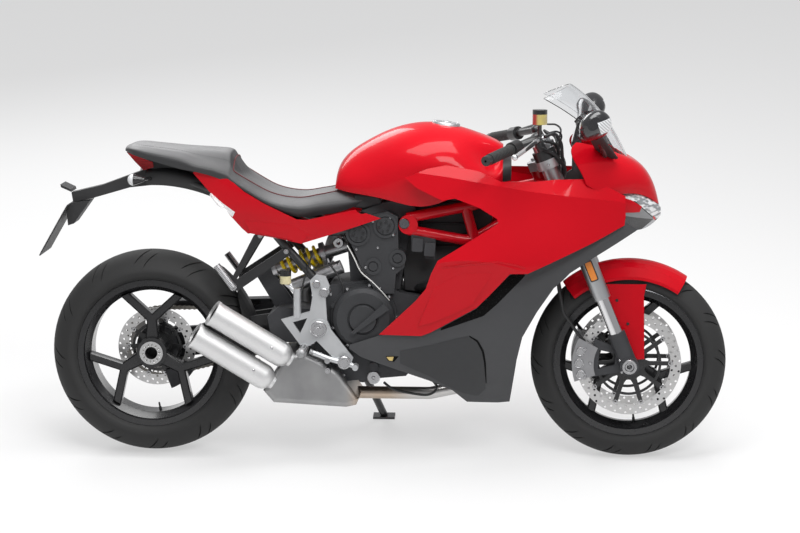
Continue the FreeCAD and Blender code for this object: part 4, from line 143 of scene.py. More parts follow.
class Finish:
    """One material and the nodes that make it."""

    def __init__(self, name, colour, roughness, metallic=0.0, **plain):
        self.material = bpy.data.materials.new(name)
        self.colour = colour
        self.material.use_nodes = True
        self.material.diffuse_color = (*colour, 1.0)
        self.tree = self.material.node_tree
        self.shader = self.tree.nodes["Principled BSDF"]
        self.shader.inputs["Base Color"].default_value = (*colour, 1.0)
        self.shader.inputs["Roughness"].default_value = roughness
        self.shader.inputs["Metallic"].default_value = metallic
        for socket, value in plain.items():
            self.shader.inputs[socket.replace("_", " ")].default_value = value
        self.place = self.node("ShaderNodeTexCoord", {}, {}, "Object")

    def node(self, kind, settings, values, output=0):
        made = self.tree.nodes.new(kind)
        for key, value in settings.items():
            setattr(made, key, value)
        for key, value in values.items():
            if isinstance(value, Signal):
                self.tree.links.new(value.socket, made.inputs[key])
            else:
                made.inputs[key].default_value = value
        return Signal(self, made.outputs[output])

    def vectors(self, operation, first, second, output=0):
        return self.node("ShaderNodeVectorMath", {"operation": operation}, {0: first, 1: second}, output)

    def along(self, origin, direction):
        """Distance along a direction from a point, both in the bike's own frame."""
        shifted = self.vectors("SUBTRACT", self.place, TO_ROW @ Vector(origin))
        return self.vectors("DOT_PRODUCT", shifted, row_way(direction), "Value")

    def upright(self):
        """x, y and z in the bike's own frame."""
        return [self.along((0, 0, 0), way) for way in ((1, 0, 0), (0, 1, 0), (0, 0, 1))]

    def round(self, centre):
        """Radius and angle about a cross axis through a centre."""
        ahead = self.along(centre, (1, 0, 0))
        up = self.along(centre, (0, 0, 1))
        radius = (ahead * ahead + up * up).maths("SQRT")
        return radius, up.maths("ARCTAN2", ahead)

    def stretched(self, x, y, z):
        """The place, stretched along the bike's own axes, for grain that runs one way."""
        parts = self.upright()
        return self.node("ShaderNodeCombineXYZ", {}, {0: parts[0] * x, 1: parts[1] * y, 2: parts[2] * z})

    def facing(self, direction):
        """How far the surface turns to a direction of the bike's own frame, from -1 to 1."""
        normal = self.node("ShaderNodeTexCoord", {}, {}, "Normal")
        return self.vectors("DOT_PRODUCT", normal, row_way(direction), "Value")

    def near_line(self, start, end, width):
        """1 within a width of the line through two places, 0 away from it."""
        shifted = self.vectors("SUBTRACT", self.place, TO_ROW @ Vector(start))
        crossed = self.vectors("CROSS_PRODUCT", shifted, row_way(Vector(end) - Vector(start)))
        return self.node("ShaderNodeVectorMath", {"operation": "LENGTH"}, {0: crossed}, "Value") < width

    def clouds(self, scale, detail=3.0, where=None, roughness=0.5):
        return self.node("ShaderNodeTexNoise", {}, {"Vector": where or self.place, "Scale": scale, "Detail": detail,
                                                    "Roughness": roughness})

    def cells(self, scale, where=None):
        return self.node("ShaderNodeTexVoronoi", {}, {"Vector": where or self.place, "Scale": scale})

    def mixed(self, factor, low, high):
        low, high = [value if isinstance(value, Signal) else (*value, 1.0) for value in (low, high)]
        return self.node("ShaderNodeMix", {"data_type": "RGBA"}, {0: factor, 6: low, 7: high}, 2)

    def feed(self, socket, signal):
        self.tree.links.new(signal.socket, self.shader.inputs[socket])

    def relief(self, height, depth, strength=1.0):
        bump = self.node("ShaderNodeBump", {}, {"Height": height, "Distance": depth, "Strength": strength})
        self.feed("Normal", bump)

    def tint(self, spread, scale):
        """The base colour, a little lighter and darker in patches."""
        self.shades(self.clouds(scale, 4.0), 1 - spread, 1 + spread)

    def shades(self, signal, low, high):
        """The base colour between two multiples of itself."""
        self.feed("Base Color", self.mixed(signal, *([min(channel * by, 1.0) for channel in self.colour]
                                                     for by in (low, high))))

    def rough(self, base, spread, scale, detail=3.0):
        """A roughness that rises a little in patches."""
        self.feed("Roughness", base + self.clouds(scale, detail) * spread)


RED = (0.52, 0.0020, 0.0095)
BLACK = (0.012, 0.012, 0.013)


def red_lacquer():
    """Deep red under a clear coat, with a faint ripple."""
    made = Finish("red_lacquer", RED, 0.34, Coat_Weight=0.4, Coat_Roughness=0.03, Specular_IOR_Level=0.06)
    made.shader.inputs["Coat IOR"].default_value = 1.42
    made.tint(0.05, 3.0)
    made.rough(0.3, 0.08, 40.0)
    made.relief(made.clouds(260.0, 1.0), 0.0002, 0.10)
    return made.material


def frame_lacquer():
    made = Finish("frame_lacquer", RED, 0.38, Coat_Weight=0.5, Coat_Roughness=0.08, Specular_IOR_Level=0.12)
    made.tint(0.08, 12.0)
    made.relief(made.clouds(420.0, 2.0), 0.0003, 0.25)
    return made.material


def moulded_plastic(name, colour, roughness, grain=1500.0, depth=0.35):
    """Unpainted plastic with the fine pebble of its mould."""
    made = Finish(name, colour, roughness)
    made.tint(0.12, 5.0)
    pebble = made.cells(grain) + made.clouds(grain * 0.6, 2.0) * 0.6
    made.relief(pebble, 0.00025, depth)
    made.rough(roughness, 0.1, 60.0)
    return made.material


def gloss_black(name, roughness=0.22):
    made = Finish(name, BLACK, roughness, Coat_Weight=0.5, Coat_Roughness=0.1)
    made.tint(0.3, 8.0)
    made.rough(roughness, 0.12, 30.0, 4.0)
    made.relief(made.clouds(500.0, 2.0), 0.0002, 0.15)
    return made.material


def cast_metal(name, colour, roughness, metallic=0.85, grain=420.0, depth=0.5):
    """Sand-cast or blasted metal, a little lighter and darker in patches."""
    made = Finish(name, colour, roughness, metallic)
    made.tint(0.18, 14.0)
    grit = made.clouds(grain, 5.0, None, 0.7) + made.cells(grain * 1.7) * 0.4
    made.relief(grit, 0.0005, depth)
    made.rough(roughness, 0.14, 90.0, 4.0)
    return made.material


def brushed(name, colour, roughness, stretch, metallic=1.0):
    """Metal with fine scratches that all run one way."""
    made = Finish(name, colour, roughness, metallic)
    lines = made.clouds(1.0, 6.0, made.stretched(*stretch), 0.65)
    made.shades(lines, 0.82, 1.12)
    made.feed("Roughness", roughness + lines * 0.22)
    made.relief(lines, 0.0002, 0.3)
    return made.material


def bright_steel(name, colour, roughness):
    made = Finish(name, colour, roughness, 1.0)
    made.tint(0.06, 30.0)
    made.rough(roughness, 0.08, 70.0, 5.0)
    return made.material


# Finishes by node; bars and lips are for this script's own pieces.
PLAIN = {
    "main_frame": frame_lacquer(),
    "front_rim": gloss_black("wheel_black"),
    "swingarm": cast_metal("arm_grey", (0.045, 0.046, 0.05), 0.5, 0.3),
    "rear_subframe": gloss_black("tube_black", 0.4),
    "lower_fairings": moulded_plastic("dark_fairing", (0.052, 0.053, 0.056), 0.62),
    "cockpit_trim": moulded_plastic("trim_black", (0.02, 0.02, 0.021), 0.55),
    "undertail": moulded_plastic("tray_black", (0.022, 0.022, 0.023), 0.5),
    "engine_covers": cast_metal("cover_grey", (0.04, 0.041, 0.044), 0.55, 0.3, 600.0, 0.4),
    "engine_block": cast_metal("engine_grey", (0.055, 0.056, 0.06), 0.6, 0.4, 300.0, 0.8),
    "triple_clamps": cast_metal("clamp_silver", (0.55, 0.56, 0.57), 0.38, 0.9, 700.0, 0.25),
    "front_calipers": cast_metal("caliper_grey", (0.33, 0.33, 0.34), 0.42, 0.8, 700.0, 0.3),
    "bars": gloss_black("bar_black", 0.35),
    "radiator": cast_metal("radiator_black", (0.03, 0.03, 0.032), 0.6, 0.5),
    "lips": bright_steel("lip_steel", (0.20, 0.20, 0.21), 0.18),
    "silencers": brushed("silencer_alloy", (0.80, 0.80, 0.80), 0.40, (60.0, 900.0, 900.0)),
    "front_axle": bright_steel("axle_steel", (0.55, 0.55, 0.56), 0.22),
    "rear_sprocket": bright_steel("sprocket_steel", (0.36, 0.35, 0.34), 0.38),
}
SHARED = {
    "rear_rim": "front_rim", "fork_bottoms": "swingarm", "plate_bracket": "undertail", "hugger": "undertail",
    "side_stand": "rear_subframe",
}
RED_NODES = ("tank", "tail_panels", "side_fairing_left", "side_fairing_right", "nose_fairing", "front_fender")


def disc_ring_steel():
    """Ground steel with turning marks, a little blued by heat."""
    made = Finish("disc_ring_steel", (0.5, 0.5, 0.5), 0.28, 1.0)
    marks = made.clouds(1.0, 5.0, made.stretched(700.0, 60.0, 700.0))
    heat = made.clouds(18.0, 3.0)
    made.feed("Base Color", made.mixed(heat * 0.5, made.mixed(marks, (0.62, 0.62, 0.63), (0.84, 0.84, 0.84)),
                                       (0.66, 0.64, 0.60)))
    made.feed("Roughness", 0.24 + marks * 0.16)
    return made.material


def fork_silver():
    """Blasted outer tubes, with the bright inner tubes below them."""
    made = Finish("fork_silver", (0.6, 0.61, 0.62), 0.35, 1.0)
    up = made.along(STEERING_FOOT, (-math.sin(RAKE), 0, math.cos(RAKE)))
    outer = up.ramp(0.2205, 0.2225)
    made.feed("Base Color", made.mixed(outer, (0.72, 0.72, 0.73), (0.50, 0.51, 0.52)))
    made.feed("Roughness", 0.08 + outer * (0.28 + made.clouds(300.0, 4.0) * 0.1))
    return made.material


def collector_steel():
    """Grey steel that goes straw and blue where the pipe is hottest."""
    made = Finish("collector_steel", (0.4, 0.4, 0.4), 0.42, 0.95)
    x = made.upright()[0]
    pipe = x.ramp(0.60, 0.66)
    heat = pipe * (1.0 - x.ramp(0.70, 0.84))
    streaks = made.clouds(14.0, 5.0)
    steel = made.mixed(streaks, (0.26, 0.26, 0.265), (0.46, 0.46, 0.46))
    straw = made.mixed(streaks, (0.34, 0.2, 0.1), (0.5, 0.36, 0.22))
    bright = made.mixed(pipe, steel, (0.56, 0.55, 0.54))
    made.feed("Base Color", made.mixed(heat * (0.3 + streaks * 0.7), bright, straw))
    made.feed("Roughness", 0.46 - pipe * 0.2 + streaks * 0.1)
    made.relief(made.clouds(200.0, 4.0), 0.0004, 0.3)
    return made.material


def tyre_rubber():
    """Rubber with a paler, finely ribbed band on the sidewalls."""
    made = Finish("tyre_rubber", (0.016, 0.016, 0.017), 0.6)
    wheel = made.round(FRONT_AXLE)[0].least(made.round(REAR_AXLE)[0])
    band = wheel.ramp(0.2365, 0.2375) * (1.0 - wheel.ramp(0.2575, 0.2585))
    rib = (wheel * 5200.0).sine().ramp(-0.5, 0.5)
    dark = made.mixed(made.clouds(20.0, 4.0), (0.011, 0.011, 0.012), (0.021, 0.021, 0.022))
    pale = made.mixed(rib * made.clouds(60.0, 3.0).ramp(0.3, 0.6), (0.030, 0.030, 0.031), (0.062, 0.062, 0.063))
    made.feed("Base Color", made.mixed(band, dark, pale))
    made.rough(0.52, 0.18, 80.0, 4.0)
    made.relief(made.clouds(900.0, 4.0), 0.0004, 0.4)
    return made.material


def hub_steel():
    """The hub's ring nut: bright, with painted shade darkening its cut notches, round a bore painted near black as
    painted shade.
    """
    made = Finish("hub_steel", (0.6, 0.6, 0.6), 0.25, 1.0)
    radius, angle = made.round(REAR_AXLE)
    notch = (angle * 14.0).sine().ramp(0.3, 0.5) * radius.ramp(0.0225, 0.0228) * (1.0 - radius.ramp(0.0290, 0.0293))
    steel = made.mixed(made.clouds(70.0, 5.0), (0.62, 0.62, 0.62), (0.78, 0.78, 0.77))
    # painted shade: the cut notches are darkened
    steel = made.mixed(notch * 0.55, steel, (0.16, 0.15, 0.13))
    # painted shade: the bore is painted near black where only shade would show
    bore = 1.0 - radius.ramp(0.0192, 0.0198)
    made.feed("Base Color", made.mixed(bore, steel, (0.008, 0.008, 0.008)))
    made.feed("Metallic", 1.0 - bore)
    made.feed("Roughness", 0.24 + bore * 0.5)
    made.relief(-notch, 0.0012, 0.6)
    return made.material


def grip_rubber():
    """Soft rubber with a cross pattern of small ribs, painted lighter on the ribs and darker between them as painted
    shade.
    """
    made = Finish("grip_rubber", (0.02, 0.02, 0.02), 0.7)
    x, y, z = made.upright()
    ribs = ((y * 900.0).sine() * (z * 900.0 + x * 500.0).sine()).ramp(-0.2, 0.5)
    made.relief(ribs, 0.0008, 0.8)
    # painted shade: darker between the ribs, lighter on them
    made.feed("Base Color", made.mixed(ribs, (0.012, 0.012, 0.012), (0.026, 0.026, 0.026)))
    return made.material


def clear_acrylic():
    made = Finish("clear_acrylic", (0.93, 0.94, 0.95), 0.02, Transmission_Weight=1.0, IOR=1.2)
    made.rough(0.01, 0.02, 30.0)
    return made.material


def lamp_glass():
    """A clear strip down to the tip with painted reflections in it, a smoked lens below it, and a bright rim at the
    back.
    """
    made = Finish("lamp_glass", (0.3, 0.31, 0.32), 0.05, Coat_Weight=0.8, Coat_Roughness=0.02)
    x, _, z = made.upright()
    over = made.along((1.523, 0, 0.763), (0.69, 0, 0.72)).most(z - 0.803)
    # painted reflection: pale and dark patches in the clear strip stand in for light off the reflectors behind it
    reflection_shapes = made.clouds(42.0, 1.0, made.stretched(1.0, 1.0, 2.2)).ramp(0.40, 0.56)
    clear = made.mixed(reflection_shapes, (0.24, 0.25, 0.26), (0.80, 0.81, 0.82))
    low = made.along((1.455, 0, 0.752), (0.20, 0, 1.0))
    smoke = made.mixed(made.clouds(26.0, 3.0), (0.008, 0.008, 0.009), (0.045, 0.045, 0.047))
    smoke = made.mixed(low.ramp(0.004, 0.007), smoke, (0.20, 0.205, 0.21))
    smoke = made.mixed(made.along((1.500, 0, 0.706), (-0.75, 0, 1.0)) < 0.004, smoke, (0.42, 0.43, 0.44))
    lens = made.mixed(over > 0.0, smoke, clear)
    lens = made.mixed(over.between(-0.003, 0.0), lens, (0.01, 0.01, 0.01))
    lens = made.mixed(x < 1.4475, lens, (0.62, 0.63, 0.64))
    point = x.between(1.538, 1.546) * over.between(-0.004, 0.003)
    made.feed("Base Color", made.mixed(point, lens, (0.55, 0.01, 0.01)))
    made.relief(reflection_shapes, 0.0008, 0.3)
    return made.material


def lens_red():
    """Red lamp lenses painted lighter towards the top as painted light from above, with the clear indicators and
    their black arms out to the sides.
    """
    made = Finish("lens_red", (0.5, 0.004, 0.008), 0.1, Coat_Weight=0.5, Coat_Roughness=0.02, Specular_IOR_Level=0.2)
    x, y, z = made.upright()
    out = y.size().ramp(0.064, 0.066)
    glass = out * (1.0 - x.ramp(-0.042, -0.040))
    ribs = (z * 1200.0).sine() * (y * 1200.0).sine()
    # painted light: the red lens turns lighter towards the top
    lamp = made.mixed(z.ramp(0.88, 0.95), (0.30, 0.002, 0.004), (0.62, 0.006, 0.012))
    side = made.mixed(glass, (0.02, 0.02, 0.021), (0.78, 0.79, 0.8))
    made.feed("Base Color", made.mixed(out, lamp, side))
    made.relief(ribs, 0.0006, 0.35)
    return made.material


def spring_yellow():
    made = Finish("spring_yellow", (1.0, 0.70, 0.004), 0.35, Coat_Weight=0.6, Coat_Roughness=0.1)
    made.tint(0.06, 20.0)
    return made.material


def foot_plate_silver():
    """Blasted alloy plates, with a machined ring at each pivot and the fluid cup's cap and body."""
    made = Finish("foot_plate_silver", (0.62, 0.63, 0.64), 0.42, 0.9)
    x, y, z = made.upright()
    grit = made.clouds(700.0, 5.0, None, 0.7)
    shade = made.mixed(made.clouds(14.0, 4.0), (0.50, 0.51, 0.52), (0.70, 0.71, 0.72))
    groove = 0.0
    for centre, inner in (((0.527, 0, 0.412), 0.0175), ((0.605, 0, 0.312), 0.0135)):
        groove = groove + made.round(centre)[0].between(inner, inner + 0.0022)
    peg = x.between(0.462, 0.512) * z.between(0.336, 0.387) * (y.size() > 0.176)
    tread = ((x * 900.0 + z * 900.0).sine() * (x * 900.0 - z * 900.0).sine()).ramp(-0.3, 0.3)
    cup = x.between(0.404, 0.448) * (z > 0.547) * (y < -0.06)
    shade = made.mixed(groove, shade, (0.03, 0.03, 0.032))
    # painted shade: the pegs are darker between the ridges of their tread
    shade = made.mixed(peg * (1.0 - tread), shade, (0.10, 0.10, 0.10))
    fluid = made.mixed(z > 0.5735, (0.62, 0.56, 0.34), (0.015, 0.015, 0.016))
    made.feed("Base Color", made.mixed(cup, shade, fluid))
    made.feed("Metallic", 0.9 - cup * 0.9)
    made.feed("Roughness", 0.40 + made.clouds(90.0, 4.0) * 0.14 - cup * 0.2)
    made.relief(grit * 0.3 - groove * 2.0 + peg * tread * 3.0, 0.0005, 0.5)
    return made.material


def worn_black(made):
    """A signal between two near blacks, in patches."""
    return made.mixed(made.clouds(8.0, 4.0), (0.010, 0.010, 0.011), (0.018, 0.018, 0.019))


def bracket_black():
    """Black brackets that end in ribbed alloy pegs, painted darker between the ribs as painted shade."""
    made = Finish("bracket_black", BLACK, 0.4, Coat_Weight=0.3, Coat_Roughness=0.15)
    hanger = (0.212, 0, 0.600)
    down = made.along(hanger, (0.050, 0, -0.068))
    off = made.along(hanger, (0.068, 0, 0.050)).size()
    peg = (off < 0.0155) * (made.upright()[1].size() > 0.1215) * (down < 0.125)
    ribs = (down * 1400.0).sine().ramp(-0.2, 0.4)
    # painted shade: the alloy is darker in the grooves between the ribs
    alloy = made.mixed(ribs, (0.34, 0.34, 0.35), (0.72, 0.72, 0.73))
    made.feed("Base Color", made.mixed(peg, worn_black(made), alloy))
    made.feed("Metallic", peg * 0.9)
    made.relief(peg * ribs + made.clouds(500.0, 2.0) * 0.1, 0.0008, 0.6)
    return made.material


def mirror_black():
    """Dark housings with a clear lamp in each shoulder and silvered glass to the rear."""
    made = Finish("mirror_black", (0.016, 0.016, 0.018), 0.2, Coat_Weight=0.6, Coat_Roughness=0.06)
    out = made.upright()[1].size()
    shoulder = (1.382, 0, 1.052)
    lamp = made.along(shoulder, (0.9, 0, 0.3)).size() < 0.021
    lamp = lamp * (made.along(shoulder, (-0.3, 0, 0.9)).size() < 0.019) * (out > 0.318)
    rear = (made.facing((-1, 0, 0)) > 0.93) * (out > 0.262)
    facets = (made.along((0, 0, 0), (1, 0, 1)) * 900.0).sine().ramp(-0.6, 0.6)
    clear = made.mixed(facets, (0.50, 0.51, 0.52), (0.85, 0.86, 0.87))
    shade = made.mixed(made.clouds(30.0, 3.0), (0.012, 0.012, 0.013), (0.022, 0.022, 0.024))
    made.feed("Base Color", made.mixed(rear, made.mixed(lamp, shade, clear), (0.85, 0.86, 0.88)))
    made.feed("Metallic", rear)
    made.feed("Roughness", 0.24 - lamp * 0.16 - rear * 0.23)
    return made.material


def bar_metal():
    """Black tubes and switches, silver levers and a cup of fluid under its black cap."""
    made = Finish("bar_metal", BLACK, 0.35, Coat_Weight=0.3, Coat_Roughness=0.12)
    x, y, z = made.upright()
    lever = 0.0
    for side in SIDES:
        bar = made.near_line((1.190, side * 0.205, 1.0), (1.118, side * 0.348, 0.958), 0.0088)
        lever = lever + bar * (y * side > 0.222)
    cup = made.near_line((1.190, -0.222, 1.044), (1.190, -0.222, 1.088), 0.0235) * (z > 1.0435)
    streaks = made.clouds(60.0, 4.0)
    amber = made.mixed(streaks, (0.62, 0.50, 0.08), (0.30, 0.26, 0.20))
    fluid = made.mixed(x.ramp(1.176, 1.186), (0.36, 0.02, 0.015), amber)
    black = worn_black(made)
    shade = made.mixed(lever, black, (0.72, 0.72, 0.73))
    made.feed("Base Color", made.mixed(cup, shade, made.mixed(z > 1.0745, fluid, black)))
    made.feed("Metallic", lever * 0.9)
    made.feed("Roughness", 0.36 - lever * 0.1 - cup * 0.2 + streaks * 0.1)
    made.relief(made.clouds(500.0, 2.0), 0.0002, 0.15)
    return made.material


def chain_steel():
    """Chain plates under a film of dark oil."""
    made = Finish("chain_steel", (0.28, 0.26, 0.23), 0.4, 0.9)
    film = made.clouds(120.0, 4.0)
    made.feed("Base Color", made.mixed(film, (0.09, 0.08, 0.07), (0.4, 0.37, 0.32)))
    made.feed("Roughness", 0.3 + film * 0.25)
    return made.material


def shock_metal():
    made = Finish("shock_metal", (0.5, 0.5, 0.51), 0.32, 0.9)
    grain = made.clouds(1.0, 5.0, made.stretched(600.0, 40.0, 600.0))
    made.feed("Base Color", made.mixed(grain, (0.36, 0.36, 0.37), (0.62, 0.62, 0.63)))
    made.feed("Roughness", 0.24 + grain * 0.2)
    return made.material


def hose_black():
    made = Finish("hose_black", (0.015, 0.015, 0.016), 0.45)
    made.relief((made.upright()[2] * 4000.0).sine(), 0.0002, 0.3)
    return made.material


def dress_nodes():
    """Gives every node its finish."""
    finishes = dict(PLAIN)
    finishes.update({node: PLAIN[like] for node, like in SHARED.items()})
    finishes.update(dict.fromkeys(RED_NODES, red_lacquer()))
    finishes.update(dict.fromkeys(("front_tyre", "rear_tyre"), tyre_rubber()))
    finishes.update(dict.fromkeys(("front_discs", "rear_disc"), disc_ring_steel()))
    finishes.update({
        "rear_axle": hub_steel(), "rider_foot_plates": foot_plate_silver(), "passenger_brackets": bracket_black(),
        "mirrors": mirror_black(), "handlebars": bar_metal(), "fork_tubes": fork_silver(),
        "exhaust_system": collector_steel(), "grips": grip_rubber(), "windscreen": clear_acrylic(),
        "headlight": lamp_glass(), "rear_lamps": lens_red(), "shock_spring": spring_yellow(),
        "drive_chain": chain_steel(), "shock_absorber": shock_metal(), "brake_lines": hose_black()})
    for node, material in finishes.items():
        if node in frame["nodes"]:
            solid = frame["nodes"][node]
            solid.data.materials.clear()
            solid.data.materials.append(material)


# ---- Making and placing pieces ----

def turned(way, along):
    """Three square directions: along, across and the way itself."""
    way = Vector(way).normalized()
    along = Vector(along)
    along = along - way * along.dot(way)
    if along.length < 1e-6:
        along = way.orthogonal()
    along.normalize()
    return along, way.cross(along), way


def quads(rows, width, loop_rows, loop_width):
    """The faces of a grid of points that lie row after row."""
    faces = []
    for k in range(rows if loop_rows else rows - 1):
        after = (k + 1) % rows
        for j in range(width if loop_width else width - 1):
            i = (j + 1) % width
            faces.append((k * width + j, k * width + i, after * width + i, after * width + j))
    return faces


def skinned(rings):
    """A closed form over rings of as many points, with flat ends."""
    points = [point for ring in rings for point in ring]
    count, width = len(points), len(rings[0])
    return points, quads(len(rings), width, False, True) + [tuple(range(width)), tuple(range(count - width, count))]


def angles(count, first=0):
    """Angles one step apart round a full turn, started some steps on."""
    return [2 * math.pi * (k + first) / count for k in range(count)]


def lathe(profile, centre, way, steps=24, closed=False):
    """A line of radii and distances along an axis, turned about that axis."""
    along, across, way = turned(way, (1, 0, 0.01))
    points = []
    for angle in angles(steps):
        out = along * math.cos(angle) + across * math.sin(angle)
        points += [Vector(centre) + out * radius + way * reach for radius, reach in profile]
    return points, quads(steps, len(profile), True, closed)


def tube(line, radius, sides=10):
    """A round bar along a line of points, closed at both ends."""
    line = [Vector(point) for point in line]
    rings = []
    along = None
    for k, point in enumerate(line):
        way = (line[min(k + 1, len(line) - 1)] - line[max(k - 1, 0)]).normalized()
        along, across, way = turned(way, along or way.orthogonal())
        rings.append([point + (along * math.cos(angle) + across * math.sin(angle)) * radius
                      for angle in angles(sides)])
    return skinned(rings)


def prism_sides(count):
    return [(k, (k + 1) % count, count + (k + 1) % count, count + k) for k in range(count)]


def plate(outline, near, far, hole=None):
    """A flat plate across the bike, from an outline in x and z, with a hole of as many points."""
    count = len(outline)
    points = [(x, y, z) for y in (near, far) for x, z in outline]
    faces = prism_sides(count)
    if hole is None:
        return points, faces + [tuple(range(count)), tuple(range(count, 2 * count))]
    points += [(x, y, z) for y in (near, far) for x, z in hole]
    for k in range(count):
        after = (k + 1) % count
        faces.append((2 * count + k, 2 * count + after, 3 * count + after, 3 * count + k))
        faces.append((k, after, 2 * count + after, 2 * count + k))
        faces.append((count + k, count + after, 3 * count + after, 3 * count + k))
    return points, faces


def together(forms):
    points, faces = [], []
    for more, sides in forms:
        base = len(points)
        points += [Vector(point) for point in more]
        faces += [tuple(base + k for k in side) for side in sides]
    return points, faces


def across_bike(form):
    """A form and its mirror image on the other side."""
    points, faces = form
    return together([form, ([(x, -y, z) for x, y, z in points], faces)])


SAME_PLACE = 0.00002
SHARP_ANGLE = 0.6


def around(ring, angle):
    """A place on a ring in x and z, given by its middle and radius."""
    x, z, radius = ring
    return x + radius * math.cos(angle), z + radius * math.sin(angle)


def circle(x, z, radius, count, first=0):
    """Places round a circle in x and z."""
    return [around((x, z, radius), angle) for angle in angles(count, first)]


def mesh_of(name, form, crease=38.0):
    """A mesh with its double points joined and its faces turned outward."""
    mesh = bpy.data.meshes.new(name)
    mesh.from_pydata([tuple(point) for point in form[0]], [], form[1])
    made = bmesh.new()
    made.from_mesh(mesh)
    bmesh.ops.remove_doubles(made, verts=made.verts, dist=SAME_PLACE)
    bmesh.ops.recalc_face_normals(made, faces=made.faces)
    made.to_mesh(mesh)
    made.free()
    for face in mesh.polygons:
        face.use_smooth = True
    mesh.set_sharp_from_angle(angle=math.radians(crease))
    return mesh


def softened(mesh, width, steps=2):
    """The same mesh with its sharp edges rounded."""
    made = bmesh.new()
    made.from_mesh(mesh)
    edges = [edge for edge in made.edges if edge.is_manifold and edge.calc_face_angle(0) > SHARP_ANGLE]
    bmesh.ops.bevel(made, geom=edges, offset=width, segments=steps, profile=0.7, affect="EDGES",
                    clamp_overlap=True)
    made.to_mesh(mesh)
    made.free()
    return mesh


def piece(name, mesh, body, material, replaced=()):
    """Sets a mesh of the bike's own frame down with the bike, on its body."""
    mesh.transform(TO_ROW)
    made = bpy.data.objects.new(name, mesh)
    bpy.context.scene.collection.objects.link(made)
    mesh.materials.clear()
    mesh.materials.append(material)
    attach(made, body)
    if replaced:
        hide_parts(*replaced)
    return made


def group(name, forms, body, material, rounding=0.0, steps=2, replaced=()):
    """Several forms as one piece, with its sharp edges rounded by a width."""
    mesh = mesh_of(name, together(forms))
    return piece(name, softened(mesh, rounding, steps) if rounding else mesh, body, material, replaced)


def touch(node, start, way):
    """Where a line from a point meets a node's skin, and the way that skin faces."""
    hit, place, facing, _ = frame["nodes"][node].ray_cast(
        TO_ROW @ Vector(start), TO_ROW.to_3x3() @ Vector(way).normalized())
    if not hit:
        raise ValueError("nothing of " + node + " lies ahead of " + str(tuple(start)))
    return TO_BIKE @ place, (TO_BIKE.to_3x3() @ facing).normalized()


def beside(node, x, z, side=-1):
    """The outside of a node at a place along and up, seen from one side."""
    return touch(node, (x, side * 0.6, z), (0, -side, 0))


# ---- What repeats: one small part set down on many places ----

def tree_of_parts():
    """Sets one part down on every place, turned the way of that place, and gives it a finish."""
    tree = bpy.data.node_groups.new("parts_on_places", "GeometryNodeTree")
    for name, kind in (("Places", "NodeSocketGeometry"), ("Part", "NodeSocketObject"),
                       ("Size", "NodeSocketFloat"), ("Finish", "NodeSocketMaterial")):
        tree.interface.new_socket(name, in_out="INPUT", socket_type=kind)
    tree.interface.new_socket("Parts", in_out="OUTPUT", socket_type="NodeSocketGeometry")

    def add(kind, settings, values):
        made = tree.nodes.new(kind)
        for key, value in settings.items():
            setattr(made, key, value)
        for key, value in values.items():
            if isinstance(value, bpy.types.NodeSocket):
                tree.links.new(value, made.inputs[key])
            else:
                made.inputs[key].default_value = value
        return made

    start = add("NodeGroupInput", {}, {})
    way, along = [add("GeometryNodeInputNamedAttribute", {"data_type": "FLOAT_VECTOR"}, {"Name": name})
                  for name in ("way", "along")]
    size = add("GeometryNodeInputNamedAttribute", {"data_type": "FLOAT"}, {"Name": "size"})
    facing = add("FunctionNodeAlignRotationToVector", {"axis": "Z"}, {"Vector": way.outputs[0]})
    turn = add("FunctionNodeAlignRotationToVector", {"axis": "X", "pivot_axis": "Z"},
               {"Rotation": facing.outputs[0], "Vector": along.outputs[0]})
    part = add("GeometryNodeObjectInfo", {}, {"Object": start.outputs["Part"]})
    scale = add("ShaderNodeMath", {"operation": "MULTIPLY"}, {0: size.outputs[0], 1: start.outputs["Size"]})
    spread = add("GeometryNodeInstanceOnPoints", {}, {
        "Points": start.outputs["Places"], "Instance": part.outputs["Geometry"], "Rotation": turn.outputs[0],
        "Scale": scale.outputs[0]})
    real = add("GeometryNodeRealizeInstances", {}, {"Geometry": spread.outputs[0]})
    finish = add("GeometryNodeSetMaterial", {}, {"Geometry": real.outputs[0], "Material": start.outputs["Finish"]})
    end = add("NodeGroupOutput", {}, {})
    tree.links.new(finish.outputs[0], end.inputs[0])
    return tree


PARTS_TREE = tree_of_parts()


def many(name, part, spots, finish, size=0.001):
    """One mesh of the same small part on many spots: a place, the way it faces, its along and its size."""
    mesh = bpy.data.meshes.new(name)
    mesh.from_pydata([tuple(spot[0]) for spot in spots], [], [])
    for key, index in (("way", 1), ("along", 2)):
        field = mesh.attributes.new(key, "FLOAT_VECTOR", "POINT")
        field.data.foreach_set("vector", [value for spot in spots for value in spot[index]])
    field = mesh.attributes.new("size", "FLOAT", "POINT")
    field.data.foreach_set("value", [spot[3] for spot in spots])
    holder = bpy.data.objects.new(name, mesh)
    source = bpy.data.objects.new(name + "_part", part)
    for thing in (holder, source):
        bpy.context.scene.collection.objects.link(thing)
    spread = holder.modifiers.new("spread", "NODES")
    spread.node_group = PARTS_TREE
    chosen = {"Part": source, "Size": size, "Finish": finish}
    for socket in PARTS_TREE.interface.items_tree:
        if socket.name in chosen:
            spread[socket.identifier] = chosen[socket.name]
    holder.update_tag()
    shaped = holder.evaluated_get(bpy.context.evaluated_depsgraph_get())
    made = bpy.data.meshes.new_from_object(shaped)
    made.name = name
    for thing in (holder, source):
        bpy.data.objects.remove(thing)
    return made


def scattered(name, part, spots, body, material, size=0.001):
    """The same small part on many spots as one piece."""
    return piece(name, many(name, part, spots, material, size), body, material)


# The foot and the way of a small part that is drawn upright at the middle.
UPRIGHT = ((0, 0, 0), (0, 0, 1))


